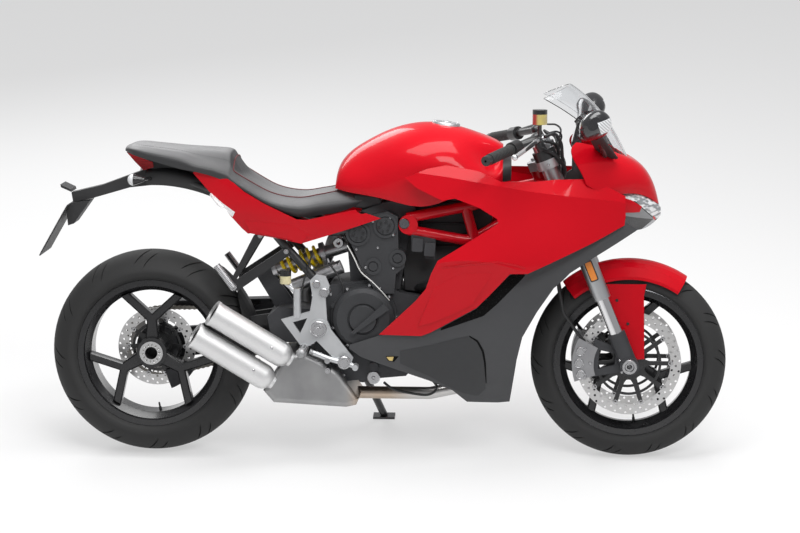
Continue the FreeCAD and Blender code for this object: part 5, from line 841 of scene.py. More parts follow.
def cap_screw():
    """A button head with a hollow for its key, one unit in radius."""
    return mesh_of("cap_screw", lathe([(0, 0.18), (0.42, 0.18), (0.50, 0.62), (0.74, 0.60), (0.94, 0.36),
                                       (1.0, 0.05), (1.0, -0.1)], *UPRIGHT, 14))


def hex_screw():
    """A six-sided head on its washer, one unit in radius."""
    head = lathe([(0, 1.0), (0.66, 1.0), (0.80, 0.88), (0.80, 0.2)], *UPRIGHT, 6)
    washer = lathe([(0, 0.22), (1.15, 0.22), (1.2, 0.14), (1.2, -0.1)], *UPRIGHT, 18)
    return mesh_of("hex_screw", together([head, washer]), 25.0)


def rivet_head():
    return mesh_of("rivet_head", lathe([(0, 0.5), (0.35, 0.46), (0.7, 0.32), (0.95, 0.1), (1.0, -0.1)], *UPRIGHT, 10))


def beside_spots(node, places, size, side=-1, sink=0.0):
    """Spots on the outside of a node for screws that point sideways."""
    spots = []
    for x, z in places:
        place, facing = beside(node, x, z, side)
        spots.append((place - facing * sink, facing, (1, 0, 0.3), size))
    return spots


# ---- Tyres ----

RIM_FLANGE = 0.228
BEAD_SEAT = 0.2162
RIM_FLOOR = 0.190
SECTION_ROWS = 13
GROOVE_DEPTH = 0.0045
GROOVE_HALF = 0.0032
GROOVE_FLOOR = 0.62
GROOVE_RUN_OUT = 0.12
GROOVE_SLANT = 0.84
# Each groove's place in its repeat, its side, and where it starts and ends across the tread.
GROOVES = ((0.0, -1, 0.10, 0.86), (0.25, 1, 0.42, 0.97), (0.5, 1, 0.10, 0.86), (0.75, -1, 0.42, 0.97))


def arc_through(start, middle, end, steps):
    """Points along the arc through three points of a plane."""
    (ax, ay), (bx, by), (cx, cy) = start, middle, end
    d = 2 * (ax * (by - cy) + bx * (cy - ay) + cx * (ay - by))
    ox = ((ax * ax + ay * ay) * (by - cy) + (bx * bx + by * by) * (cy - ay) + (cx * cx + cy * cy) * (ay - by)) / d
    oy = ((ax * ax + ay * ay) * (cx - bx) + (bx * bx + by * by) * (ax - cx) + (cx * cx + cy * cy) * (bx - ax)) / d
    radius = math.hypot(ax - ox, ay - oy)
    first = math.atan2(ay - oy, ax - ox)
    sweep = (math.atan2(cy - oy, cx - ox) - first + math.pi) % (2 * math.pi) - math.pi
    return [(ox + radius * math.cos(first + sweep * k / steps), oy + radius * math.sin(first + sweep * k / steps))
            for k in range(steps + 1)]


def grooved_tyre(name, axle_x, radius, half, crown, bead, repeats):
    """A tyre whose mesh runs along its slanted grooves."""
    steep = math.asin(half / crown)
    edge = radius - crown + crown * math.cos(steep)
    bulge = RIM_FLANGE + (edge - RIM_FLANGE) * 0.45
    wall = arc_through((half, edge), (half - 0.002, bulge), (bead, RIM_FLANGE), 9)[1:]
    ridges = {2: 0.0005, 5: 0.0005, 6: 0.0007}
    slopes = [steep * k / SECTION_ROWS for k in range(-SECTION_ROWS, SECTION_ROWS + 1)]
    section = [(crown * math.sin(slope), radius - crown + crown * math.cos(slope), slope, True) for slope in slopes]
    wall = [(y - ridges.get(k, 0), r) for k, (y, r) in enumerate(wall)]
    wall += [(bead, BEAD_SEAT), (bead - 0.008, BEAD_SEAT), (bead - 0.008, RIM_FLANGE), (half - 0.0105, bulge),
             (half - 0.009, edge - 0.009), (half * 0.55, radius - 0.022)]
    ring = section + [(y, r, 0, False) for y, r in wall] + [(-y, r, 0, False) for y, r in reversed(wall)]
    columns = []
    for n in range(repeats):
        for phase, side, first, last in GROOVES:
            columns += [(n + phase, offset, depth, side, first, last)
                        for offset, depth in ((-1.0, 0), (-GROOVE_FLOOR, 1), (GROOVE_FLOOR, 1), (1.0, 0))]
            columns.append((n + phase + 0.125, 0, 0, 0, 0, 1))
    slant = GROOVE_SLANT * math.pi / repeats
    points = []
    for turn, offset, deep, side, first, last in columns:
        for y, r, slope, tread in ring:
            share = min(abs(y) / half, 1.0) if tread else 1.0
            cut = 0.0
            if tread and slope * side > 0:
                cut = max(0.0, min((share - first) / GROOVE_RUN_OUT, (last - share) / GROOVE_RUN_OUT, 1.0))
            lowered = GROOVE_DEPTH * deep * cut
            width = GROOVE_HALF * offset * (0.25 + 0.75 * cut) / radius
            angle = 2 * math.pi * turn / repeats + width + slant * share ** 1.3
            reach = r - lowered * math.cos(slope)
            points.append((axle_x + reach * math.cos(angle), y - lowered * math.sin(slope),
                           radius + reach * math.sin(angle)))
    return mesh_of(name, (points, quads(len(columns), len(ring), True, True)), 32.0)


def tyres():
    rubber = bpy.data.materials["tyre_rubber"]
    piece("front_tread", grooved_tyre("front_tread", WHEELBASE, FRONT_RADIUS, 0.060, FRONT_CROWN, 0.0445, 14),
          "front_wheel", rubber, ("front_tyre",))
    piece("rear_tread", grooved_tyre("rear_tread", 0.0, REAR_RADIUS, 0.090, REAR_CROWN, 0.070, 12),
          "rear_wheel", rubber, ("rear_tyre",))
    # The valves stand inward from the rims' floors, near the lowest point.
    valve = [(0, 0.030), (0.0022, 0.030), (0.0030, 0.026), (0.0030, 0.014), (0.0042, 0.012), (0.0048, 0.0)]
    turn = math.radians(-84)
    out = Vector((math.cos(turn), 0, math.sin(turn)))
    for name, body, axle, y in (("front_valve", "front_wheel", FRONT_AXLE, -0.012),
                                ("rear_valve", "rear_wheel", REAR_AXLE, -0.022)):
        start = Vector(axle) + Vector((0, y, 0)) + out * RIM_FLOOR
        group(name, [lathe(valve, start, -out + Vector((0, -0.5, 0)), 12)], body, PLAIN["cockpit_trim"])


# ---- Brakes ----

# The eight places round a cell of the ring, in half cells along the turn and outward.
CELL_EDGE = ((0, 0), (1, 0), (2, 0), (2, 1), (2, 2), (1, 2), (0, 2), (0, 1))


def drilled_ring(centre, inner, outer, rows, cells, hole, near, far):
    """A flat ring of cells, every other one drilled through."""
    lines, turns = 2 * rows + 1, 2 * cells
    sheet = turns * lines
    faces = []

    def spot(turn, line, y):
        angle = 2 * math.pi * turn / turns
        reach = inner + (outer - inner) * line / (lines - 1)
        return (centre[0] + reach * math.cos(angle), y, centre[1] + reach * math.sin(angle))

    def index(turn, line, level):
        return level * sheet + (turn % turns) * lines + line

    points = [spot(turn, line, y) for y in (near, far) for turn in range(turns) for line in range(lines)]
    for i in range(cells):
        for j in range(rows):
            loop = [(2 * i + turn, 2 * j + line) for turn, line in CELL_EDGE]
            if (i + j) % 2:
                for level in (0, 1):
                    middle = index(2 * i + 1, 2 * j + 1, level)
                    for k in (1, 3, 5, 7):
                        faces.append((*[index(*loop[(k + n) % 8], level) for n in (0, 1, 2)], middle))
                continue
            base = len(points)
            middle = Vector(spot(2 * i + 1, 2 * j + 1, 0))
            corner = Vector(spot(*loop[0], 0)) - middle
            first = math.atan2(corner.z, corner.x)
            points += [(middle.x + hole * math.cos(first - angle), y, middle.z + hole * math.sin(first - angle))
                       for y in (near, far) for angle in angles(8)]
            for k in range(8):
                after = (k + 1) % 8
                faces += [(index(*loop[k], level), index(*loop[after], level), base + 8 * level + after,
                           base + 8 * level + k) for level in (0, 1)]
                faces.append((base + k, base + after, base + 8 + after, base + 8 + k))
    faces += [(index(turn, line, 0), index(turn + 1, line, 0), index(turn + 1, line, 1), index(turn, line, 1))
              for turn in range(turns) for line in (0, lines - 1)]
    used = sorted({k for face in faces for k in face})
    place = {k: n for n, k in enumerate(used)}
    return [points[k] for k in used], [tuple(place[k] for k in face) for face in faces]


def spider(centre, arms, root, reach, bore, near, far):
    """The dark carrier inside a disc: a hub with an arm to each of the ring's pins."""
    half = math.pi / arms
    steps = ((-1.0, root), (-0.62, root + 0.001), (-0.34, root + 0.012), (-0.17, reach - 0.008), (-0.10, reach),
             (0.10, reach), (0.17, reach - 0.008), (0.34, root + 0.012), (0.62, root + 0.001))
    outline, hole = [], []
    for k in range(arms):
        for share, radius in steps:
            angle = 2 * half * k + half * share
            outline.append(around((*centre, radius), angle))
            hole.append(around((*centre, bore), angle))
    return plate(outline, near, far, hole)


DISC_BAND = 0.032
DISC_HOLE = 0.0038
DISC_HALF = 0.0024
CARRIER_HALF = 0.0021
CARRIER_ROOT = 0.052
CARRIER_ARMS = 10


def brake_discs():
    """Drilled rings, each pinned to a dark carrier with arms and a web."""
    steel, pin_steel = bpy.data.materials["disc_ring_steel"], PLAIN["front_axle"]
    pin = mesh_of("disc_pin", lathe([(0.45, 0.1), (0.5, 0.62), (0.95, 0.6), (1.0, 0.5), (1.0, -0.5), (0.95, -0.6),
                                     (0.5, -0.62), (0.45, -0.1)], *UPRIGHT, 16, True))
    for name, body, node, centre, outer, offsets, bore, cells in (
            ("front_disc", "front_wheel", "front_discs", FRONT_AXLE, 0.160, (-0.062, 0.062), 0.013, 60),
            ("rear_disc", "rear_wheel", "rear_disc", REAR_AXLE, 0.122, (0.050,), 0.0302, 46)):
        middle = (centre[0], centre[2])
        inner = outer - DISC_BAND
        web = outer * 0.60
        rings, arms, webs, pins = [], [], [], []
        for y in offsets:
            rings.append(drilled_ring(middle, inner, outer, 3, cells, DISC_HOLE, y - DISC_HALF, y + DISC_HALF))
            arms.append(spider(middle, CARRIER_ARMS, CARRIER_ROOT, inner + 0.004, bore, y - CARRIER_HALF,
                               y + CARRIER_HALF))
            webs.append(lathe([(web - 0.004, -0.002), (web + 0.004, -0.002), (web + 0.004, 0.002),
                               (web - 0.004, 0.002)], (centre[0], y, centre[2]), (0, 1, 0), 60, True))
            pins += [((x, y, z), (0, 1 if y > 0 else -1, 0), (1, 0, 0), 7.6)
                     for x, z in circle(*middle, inner - 0.0005, CARRIER_ARMS)]
        group(name + "_rings", rings, body, steel, replaced=(node,))
        group(name + "_carriers", arms + webs, body, PLAIN["front_rim"], 0.0006)
        scattered(name + "_pins", pin, pins, body, pin_steel)


# ---- Chain ----

PITCH = 0.015875
CHAIN_Y = 0.135
SPROCKETS = ((0.0, REAR_RADIUS, 43), (0.585, 0.395, 15))
# How far a tooth's foot, flank, tip and other flank stand out from the pitch circle.
TOOTH = (-0.0052, -0.001, 0.0042, -0.001)


def pitch_radius(teeth):
    return PITCH / 2 / math.sin(math.pi / teeth)


def on_run(start, end, angle, share):
    """A place part of the way along the straight run from one sprocket to the other."""
    return tuple(a + (b - a) * share for a, b in zip(around(start, angle), around(end, angle)))


def chain_points():
    """Pins one pitch apart along the run round both sprockets."""
    rear, front = [(x, z, pitch_radius(teeth)) for x, z, teeth in SPROCKETS]
    less = rear[2] - front[2]
    span = math.dist(front[:2], rear[:2])
    lean = math.atan2(front[1] - rear[1], front[0] - rear[0])
    open_angle = math.acos(less / span)
    low, high = lean - open_angle, lean + open_angle
    straight = math.sqrt(span * span - less ** 2)
    round_front, round_rear = 2 * open_angle * front[2], 2 * (math.pi - open_angle) * rear[2]
    total = round_front + round_rear + 2 * straight
    count = 2 * round(total / PITCH / 2)
    made = []
    for k in range(count):
        reach = total * k / count
        if reach < round_front:
            made.append(around(front, high - reach / front[2]))
            continue
        reach -= round_front
        if reach < straight:
            made.append(on_run(front, rear, low, reach / straight))
            continue
        reach -= straight
        if reach < round_rear:
            made.append(around(rear, low - reach / rear[2]))
        else:
            made.append(on_run(rear, front, high, (reach - round_rear) / straight))
    return made


def link_side(near, far):
    """A waisted link plate from pin to pin, in pitches."""
    end, waist = 0.44, 0.30
    right = [(0.5 + end * math.cos(turn), end * math.sin(turn))
             for turn in (math.radians(angle) for angle in range(-120, 121, 30))]
    outline = right + [(0.0, waist)] + [(-x, z) for x, z in reversed(right)] + [(0.0, -waist)]
    return plate(outline, near, far)


def chain_link(outer):
    """A pair of side plates, with pin heads outside or rollers between."""
    forms = []
    low, high = (0.34, 0.45) if outer else (0.20, 0.31)
    for side in SIDES:
        forms.append(link_side(side * low, side * high))
        for end in (-0.5, 0.5):
            if outer:
                forms.append(lathe([(0, 0.06), (0.13, 0.05), (0.16, 0.0)], (end, side * high, 0), (0, side, 0), 8))
    if not outer:
        for end in (-0.5, 0.5):
            forms.append(lathe([(0.32, -0.19), (0.32, 0.19)], (end, 0, 0), (0, 1, 0), 10))
    return mesh_of("outer_link" if outer else "inner_link", together(forms))


def chain():
    """Links along the whole loop, and the toothed wheel at its front end."""
    pins = chain_points()
    steel = bpy.data.materials["chain_steel"]
    for name, first, outer in (("outer_links", 0, True), ("inner_links", 1, False)):
        spots = []
        for k in range(first, len(pins), 2):
            here, after = pins[k], pins[(k + 1) % len(pins)]
            middle = ((here[0] + after[0]) / 2, CHAIN_Y, (here[1] + after[1]) / 2)
            along = Vector((after[0] - here[0], 0, after[1] - here[1])).normalized()
            up = along.cross(Vector((0, 1, 0)))
            spots.append((middle, up, along, 1.0))
        links = many(name, chain_link(outer), spots, steel, PITCH)
        piece("chain_" + name, links, "chassis", steel, ("drive_chain",) if outer else ())
    x, z, teeth = SPROCKETS[1]
    steps = len(TOOTH)
    outline = [around((x, z, pitch_radius(teeth) + TOOTH[k % steps]), 2 * math.pi * k / (teeth * steps))
               for k in range(teeth * steps)]
    wheel = plate(outline, CHAIN_Y - 0.003, CHAIN_Y + 0.003)
    nut = lathe([(0, 0.016), (0.012, 0.016), (0.015, 0.013), (0.015, -0.012)], (x, CHAIN_Y, z), (0, 1, 0), 6)
    shaft = lathe([(0, 0.004), (0.020, 0.004), (0.022, -0.014)], (x, CHAIN_Y, z), (0, 1, 0), 20)
    group("front_sprocket", [wheel, nut, shaft], "chassis", PLAIN["rear_sprocket"])


# ---- Screws, bolts and rivets ----

# Each silencer's middle line, from its mouth forward.
SILENCERS = (((0.208, -0.208, 0.466), (0.408, -0.158, 0.334)), ((0.151, -0.208, 0.397), (0.353, -0.158, 0.264)))


def on_both_sides(node, places, size):
    return [spot for side in SIDES for spot in beside_spots(node, places, size, side)]


def silencer_rivets():
    """Three spots round each silencer, near its front end."""
    spots = []
    for start, end in SILENCERS:
        way = Vector(end) - Vector(start)
        along, across, axis = turned(way, (0, -1, 0))
        for angle in (-0.25, 1.9, 4.0):
            out = along * math.cos(angle) + across * math.sin(angle)
            place, facing = touch("silencers", Vector(start) + way * 0.84 + out * 0.07, -out)
            spots.append((place, facing, axis, 4.6))
    return spots


def steering_spots():
    spots = []
    for side in SIDES:
        spots += beside_spots("front_fender", [(1.444, 0.386), (1.466, 0.342)], 5.5, side)
        spots += beside_spots("front_calipers", [(1.336, 0.348), (1.336, 0.262), (1.352, 0.305)], 6.0, side)
        spots += beside_spots("fork_bottoms", [(1.441, 0.318), (1.447, 0.284)], 4.4, side)
    for height in (0.506, 0.520, 0.666):
        for side in SIDES:
            place = STEERING @ Vector((FORK_AHEAD, side * 0.30, height))
            spots.append((*touch("triple_clamps", place, STEERING.to_3x3() @ Vector((0, -side, 0))), (0, 0, 1), 4.6))
    return spots


def fasteners():
    """Every screw head, set on the skin of what it holds and grouped by body and kind."""
    screw, steel = cap_screw(), PLAIN["front_axle"]
    clutch = circle(0.662, 0.445, 0.1, 9)
    belt = [(0.712, 0.536), (0.668, 0.600), (0.640, 0.655), (0.690, 0.740), (0.742, 0.752), (0.752, 0.700),
            (0.752, 0.598), (0.705, 0.660)]
    case = [(0.560, 0.512), (0.840, 0.480), (0.840, 0.430), (0.600, 0.262), (0.690, 0.258), (0.530, 0.330)]
    chassis = beside_spots("engine_covers", clutch[:4] + clutch[5:], 5.2)
    chassis += beside_spots("engine_covers", belt, 4.4)
    chassis += beside_spots("engine_block", case, 5.0)
    chassis += beside_spots("engine_covers", circle(0.720, 0.430, 0.079, 8, 0.5), 4.2, 1, 0.0005)
    chassis += on_both_sides("rider_foot_plates", [(0.523, 0.553), (0.544, 0.525), (0.609, 0.316)], 6.0)
    scattered("chassis_screws", screw, chassis, "chassis", steel)
    hexes = on_both_sides("rider_foot_plates", [(0.527, 0.414)], 9.5)
    hexes += beside_spots("engine_block", [(0.691, 0.256)], 6.5)
    hexes += on_both_sides("passenger_brackets", [(0.345, 0.690), (0.424, 0.642)], 6.5)
    scattered("chassis_bolts", hex_screw(), hexes, "chassis", steel)
    scattered("silencer_rivets", rivet_head(), silencer_rivets(), "chassis", steel)
    scattered("steering_screws", screw, steering_spots(), "steering", steel)
    caps = [lathe([(0, 0.008), (0.010, 0.008), (0.0115, 0.0065), (0.0115, 0.003), (0.022, 0.003), (0.0245, 0.0005),
                   (0.0245, -0.004)], STEERING @ Vector((FORK_AHEAD, side * FORK_SIDE, 0.728)), STEERING_UP, 20)
            for side in SIDES]
    group("fork_caps", caps, "steering", PLAIN["triple_clamps"])


# ---- Hoses and cables ----

def hoses():
    """Rubber hoses and cables along the engine, and the bars' own lines."""
    rubber = bpy.data.materials["hose_black"]
    runs = (
        ("engine_hose", 0.0055, ((0.599, -0.100, 0.689), (0.627, -0.124, 0.642), (0.655, -0.140, 0.592),
                                 (0.702, -0.132, 0.545), (0.724, -0.124, 0.500), (0.736, -0.110, 0.470))),
        ("loop_hose", 0.004, ((0.720, -0.085, 0.235), (0.748, -0.090, 0.216), (0.796, -0.095, 0.205),
                              (0.857, -0.098, 0.200), (0.884, -0.092, 0.222), (0.862, -0.080, 0.250))),
        ("air_hose", 0.009, ((0.905, -0.110, 0.560), (0.940, -0.135, 0.585), (0.985, -0.140, 0.600),
                             (1.030, -0.132, 0.585), (1.062, -0.110, 0.552))),
        ("coolant_hose", 0.012, ((0.800, -0.050, 0.520), (0.880, -0.128, 0.555), (0.960, -0.128, 0.625),
                                 (1.070, -0.110, 0.640))),
        ("sensor_cable", 0.003, ((0.560, -0.118, 0.600), (0.590, -0.130, 0.560), (0.602, -0.136, 0.520),
                                 (0.596, -0.132, 0.470))),
        ("brake_switch_cable", 0.0028, ((0.461, -0.160, 0.452), (0.470, -0.150, 0.500), (0.480, -0.128, 0.560),
                                        (0.505, -0.112, 0.640))))
    for name, radius, points in runs:
        group(name, [tube(spline(points, 8), radius, 12)], "chassis", rubber)
    pale = Finish("wire_white", (0.62, 0.62, 0.60), 0.4)
    pale.tint(0.1, 60.0)
    wire = [(0.612, -0.146, 0.667), (0.633, -0.152, 0.630), (0.654, -0.156, 0.588), (0.686, -0.158, 0.560),
            (0.714, -0.158, 0.532), (0.740, -0.150, 0.500)]
    group("pale_wire", [tube(spline(wire, 8), 0.0018, 8)], "chassis", pale.material)
    loops = (
        (0.0030, ((1.205, -0.190, 1.020), (1.213, -0.160, 1.012), (1.240, -0.118, 1.014), (1.256, -0.096, 1.000),
                  (1.250, -0.086, 0.968), (1.250, -0.084, 0.930), (1.252, -0.080, 0.872))),
        (0.0042, ((1.205, -0.180, 0.990), (1.221, -0.150, 0.984), (1.238, -0.122, 0.976), (1.246, -0.110, 0.953),
                  (1.248, -0.100, 0.920), (1.252, -0.088, 0.880))),
        (0.0055, ((1.196, -0.165, 0.965), (1.212, -0.145, 0.958), (1.236, -0.135, 0.945), (1.256, -0.125, 0.922),
                  (1.268, -0.105, 0.895), (1.262, -0.085, 0.868))))
    cables = together([tube(spline(points, 8), radius, 10) for radius, points in loops])
    group("bar_cables", [across_bike(cables)], "steering", rubber)


# ---- Panels laid over a node's skin ----

def on_line(points, share):
    """A place part of the way along a line of places in x and z."""
    steps = [math.dist(a, b) for a, b in zip(points, points[1:])]
    left = share * sum(steps)
    for start, end, step in zip(points, points[1:], steps):
        if left <= step:
            break
        left -= step
    return tuple(a + (b - a) * min(left / step, 1.0) for a, b in zip(start, end))


def over_skin(node, upper, lower, lift, side=-1, along=24, across=6, low_lift=None):
    """A thin closed sheet that follows a node's skin between two lines in x and z."""
    width = along + 1
    sheet = width * (across + 1)
    points = []
    foot_lift = lift if low_lift is None else low_lift
    for top in (True, False):
        for j in range(across + 1):
            level = lift + (foot_lift - lift) * j / across if top else -0.001
            for k in range(width):
                ends = on_line(upper, k / along), on_line(lower, k / along)
                x, z = [a + (b - a) * j / across for a, b in zip(*ends)]
                try:
                    place = beside(node, x, z, side)[0]
                except ValueError:
                    place = Vector((x, points[-1][1] - side * level, z))
                points.append((place.x, place.y + side * level, place.z))
    grid = quads(across + 1, width, False, False)
    faces = grid + [tuple(sheet + k for k in face) for face in grid]
    rim = list(range(width)) + [j * width + along for j in range(1, across + 1)]
    rim += [across * width + k for k in range(along - 1, -1, -1)] + [j * width for j in range(across - 1, 0, -1)]
    for start, end in zip(rim, rim[1:] + rim[:1]):
        faces.append((start, end, sheet + end, sheet + start))
    return points, faces


def laid_panels():
    """The fairing's vents and slots as black sheets of painted shade, its recesses with a painted shadow along their
    edges, and the pale flash on the tail.
    """
    # painted shade: a near-black sheet laid where the fairing opens
    soot_and_shade = Finish("vent_shade_black", (0.004, 0.004, 0.0045), 0.9, Specular_IOR_Level=0.15)
    soot_and_shade.relief(soot_and_shade.cells(260.0), 0.004, 0.8)
    soot_and_shade.feed("Base Color", soot_and_shade.mixed(soot_and_shade.cells(120.0).ramp(0.0, 0.25), (0.03, 0.03, 0.032), (0.003, 0.003, 0.003)))
    white = Finish("flash_white", (0.80, 0.79, 0.79), 0.3, Coat_Weight=0.5, Coat_Roughness=0.05)
    white.tint(0.04, 8.0)
    brass = bright_steel("brass", (0.62, 0.48, 0.20), 0.3)
    inner = moulded_plastic("inner_fairing", (0.030, 0.031, 0.033), 0.58)
    for name, node, slot, material, lift, along, across, upper, lower in (
            # painted shade over the vent openings
            ("fairing_vents", "lower_fairings", "dark_plastic", soot_and_shade.material, 0.0008, 40, 6,
             ((0.900, 0.426), (1.005, 0.486), (1.055, 0.538), (1.102, 0.588), (1.118, 0.597), (1.148, 0.594)),
             ((0.898, 0.418), (1.027, 0.465), (1.070, 0.504), (1.113, 0.549), (1.142, 0.579), (1.151, 0.590))),
            ("fairing_fields", "lower_fairings", "dark_plastic", inner, 0.0010, 28, 10,
             ((0.775, 0.352), (0.866, 0.371), (0.939, 0.392), (0.985, 0.402), (1.010, 0.387), (1.027, 0.356)),
             ((0.775, 0.312), (0.860, 0.274), (0.905, 0.247), (0.960, 0.217), (1.010, 0.205), (1.034, 0.230))),
            # painted shadow: a dark strip along the recess's upper edge
            ("field_edges", "lower_fairings", "dark_plastic", soot_and_shade.material, 0.0016, 24, 2,
             ((0.985, 0.4035), (1.012, 0.388), (1.029, 0.356), (1.035, 0.318), (1.037, 0.250)),
             ((0.985, 0.4000), (1.007, 0.385), (1.023, 0.354), (1.030, 0.316), (1.035, 0.250))),
            # painted shade over the slots
            ("fairing_slots", "lower_fairings", "dark_plastic", soot_and_shade.material, 0.0010, 6, 3,
             ((0.732, 0.334), (0.771, 0.334)), ((0.738, 0.320), (0.757, 0.317))),
            ("slot_plugs", "lower_fairings", "steel", brass, 0.0030, 6, 3,
             ((0.734, 0.332), (0.756, 0.333)), ((0.742, 0.321), (0.752, 0.320))),
            ("tail_flashes", "tail_panels", "red_plastic", white.material, 0.0005, 10, 3,
             ((0.196, 0.820), (0.228, 0.792), (0.270, 0.763)), ((0.192, 0.814), (0.216, 0.783), (0.262, 0.748)))):
        group(name, [over_skin(node, upper, lower, lift, side, along, across) for side in SIDES], "chassis",
              material)


def lamp_tongues():
    """The painted tips of the nose that reach over the headlight's sides."""
    tongues = [over_skin("headlight", ((1.4465, 0.814), (1.470, 0.806), (1.502, 0.785)),
                         ((1.4465, 0.769), (1.475, 0.768), (1.495, 0.768)), 0.0022, side, 14, 6) for side in SIDES]
    group("lamp_tongues", tongues, "chassis", bpy.data.materials["red_lacquer"])


def red_facets():
    """The pressed edges below the seat and in the side fairings, and the fairings' long ridge."""
    fairings = {-1: "side_fairing_right", 1: "side_fairing_left"}
    tail = {-1: "tail_panels", 1: "tail_panels"}
    facets = [over_skin(nodes[side], upper, lower, high, side, 28, 8, low) for nodes, upper, lower, high, low in (
        (tail, ((0.300, 0.738), (0.370, 0.733), (0.439, 0.728), (0.500, 0.700)),
         ((0.316, 0.698), (0.380, 0.686), (0.440, 0.676), (0.472, 0.672)), 0.0006, 0.0045),
        (fairings, ((0.880, 0.556), (0.957, 0.598), (1.012, 0.603), (1.062, 0.604)),
         ((0.830, 0.432), (0.880, 0.447), (0.940, 0.475), (0.998, 0.506)), 0.0006, 0.0060),
        (fairings, ((0.902, 0.6185), (0.985, 0.6315), (1.069, 0.6405), (1.120, 0.6315), (1.160, 0.6190)),
         ((0.903, 0.6155), (0.986, 0.6260), (1.069, 0.6350), (1.119, 0.6260), (1.158, 0.6145)), 0.0022, 0.0010))
        for side in SIDES]
    group("red_facets", facets, "chassis", bpy.data.materials["red_lacquer"])


# ---- Parts between the panels, and small fittings ----

def between_panels():
    """The airbox, the trims round the seat and the tail's bracket, all across the bike."""
    ribs = [plate(((0.815, z), (0.815, z + 0.008), (0.985, z + 0.008), (0.985, z)), -0.086, 0.086)
            for z in (0.655, 0.690, 0.725, 0.760)]
    for name, half, rounding, steps, slot, material, more, outline in (
            ("airbox", 0.082, 0.004, 2, "dark_plastic", PLAIN["cockpit_trim"], ribs,
             ((0.772, 0.700), (0.780, 0.750), (0.830, 0.785), (0.960, 0.800), (1.040, 0.800), (1.050, 0.740),
              (1.000, 0.640), (0.930, 0.560), (0.850, 0.515), (0.782, 0.520))),
            ("tank_trim", 0.106, 0.004, 2, "dark_plastic", PLAIN["lower_fairings"], [],
             ((0.650, 0.766), (0.700, 0.790), (0.740, 0.799), (0.800, 0.799), (0.822, 0.773), (0.770, 0.744),
              (0.690, 0.746))),
            ("seat_nose", 0.112, 0.006, 3, "seat_cover", bpy.data.materials["seat_vinyl"], [],
             ((0.628, 0.778), (0.632, 0.818), (0.700, 0.814), (0.716, 0.801), (0.712, 0.789), (0.660, 0.774))),
            ("tail_bracket", 0.056, 0.003, 2, "dark_plastic", PLAIN["cockpit_trim"], [],
             ((-0.016, 0.890), (-0.010, 0.914), (0.030, 0.916), (0.110, 0.892), (0.180, 0.872), (0.190, 0.850),
              (0.060, 0.868)))):
        group(name, [plate(outline, -half, half)] + more, "chassis", material, rounding, steps)


def engine_fittings():
    """The relays' fronts, the bright rings on plates and engine, and the covers' dark notches."""
    relays = [tile(rounded(0.033, 0.041, 0.005), (x, -0.146, z), (0, -1, 0), (1, 0, -tilt), 0.006)
              for x, z, tilt in ((0.8255, 0.6695, 0.06), (0.8625, 0.6560, 0.09))]
    group("relay_fronts", relays, "chassis", PLAIN["engine_block"], 0.0012)
    rings = [lathe([(0.0065, 0.010), (0.0140, 0.010), (0.0155, 0.008), (0.0155, -0.030), (0.0065, -0.030)],
                   (0.583, -0.108, 0.669), (0, -1, 0), 28, True),
             lathe([(0.0062, 0.006), (0.0180, 0.006), (0.0205, 0.004), (0.0210, -0.003), (0.0062, -0.003)],
                   beside("engine_block", 0.691, 0.256)[0], (0, -1, 0), 28, True)]
    for x, z in ((0.554, 0.317), (0.555, 0.287)):
        rings.append(lathe([(0, 0.010), (0.0042, 0.010), (0.0046, 0.006), (0.0085, 0.006), (0.0090, 0.004),
                            (0.0090, -0.020)], (x, -0.180, z), (0, -1, 0), 20))
    for x, z, radius, high in ((0.527, 0.412, 0.0255, 0.004), (0.605, 0.312, 0.0195, 0.005),
                               (0.543, 0.523, 0.0150, 0.004), (0.520, 0.549, 0.0125, 0.004)):
        groove = high - 0.002
        profile = [(0, high), (radius * 0.62, high), (radius * 0.64, groove), (radius * 0.74, groove),
                   (radius * 0.76, high), (radius - 0.0015, high), (radius, high - 0.0015), (radius, -0.006)]
        rings += [lathe(profile, beside("rider_foot_plates", x, z, side)[0], (0, side, 0), 32) for side in SIDES]
    group("silver_rings", rings, "chassis", PLAIN["front_axle"])
    notch = mesh_of("notch", tile(rounded(0.40, 0.26, 0.06, 2), (0.74, 0, 0), (0, 0, 1), (1, 0, 0), 0.16))
    spots = []
    for x, z in ((0.646, 0.702), (0.725, 0.726)):
        place, facing = beside("engine_covers", x, z)
        spots += [(place, facing, (math.cos(angle + 0.2), 0, math.sin(angle + 0.2)), 0.021) for angle in angles(6)]
    scattered("cover_notches", notch, spots, "chassis", PLAIN["front_rim"], 1.0)


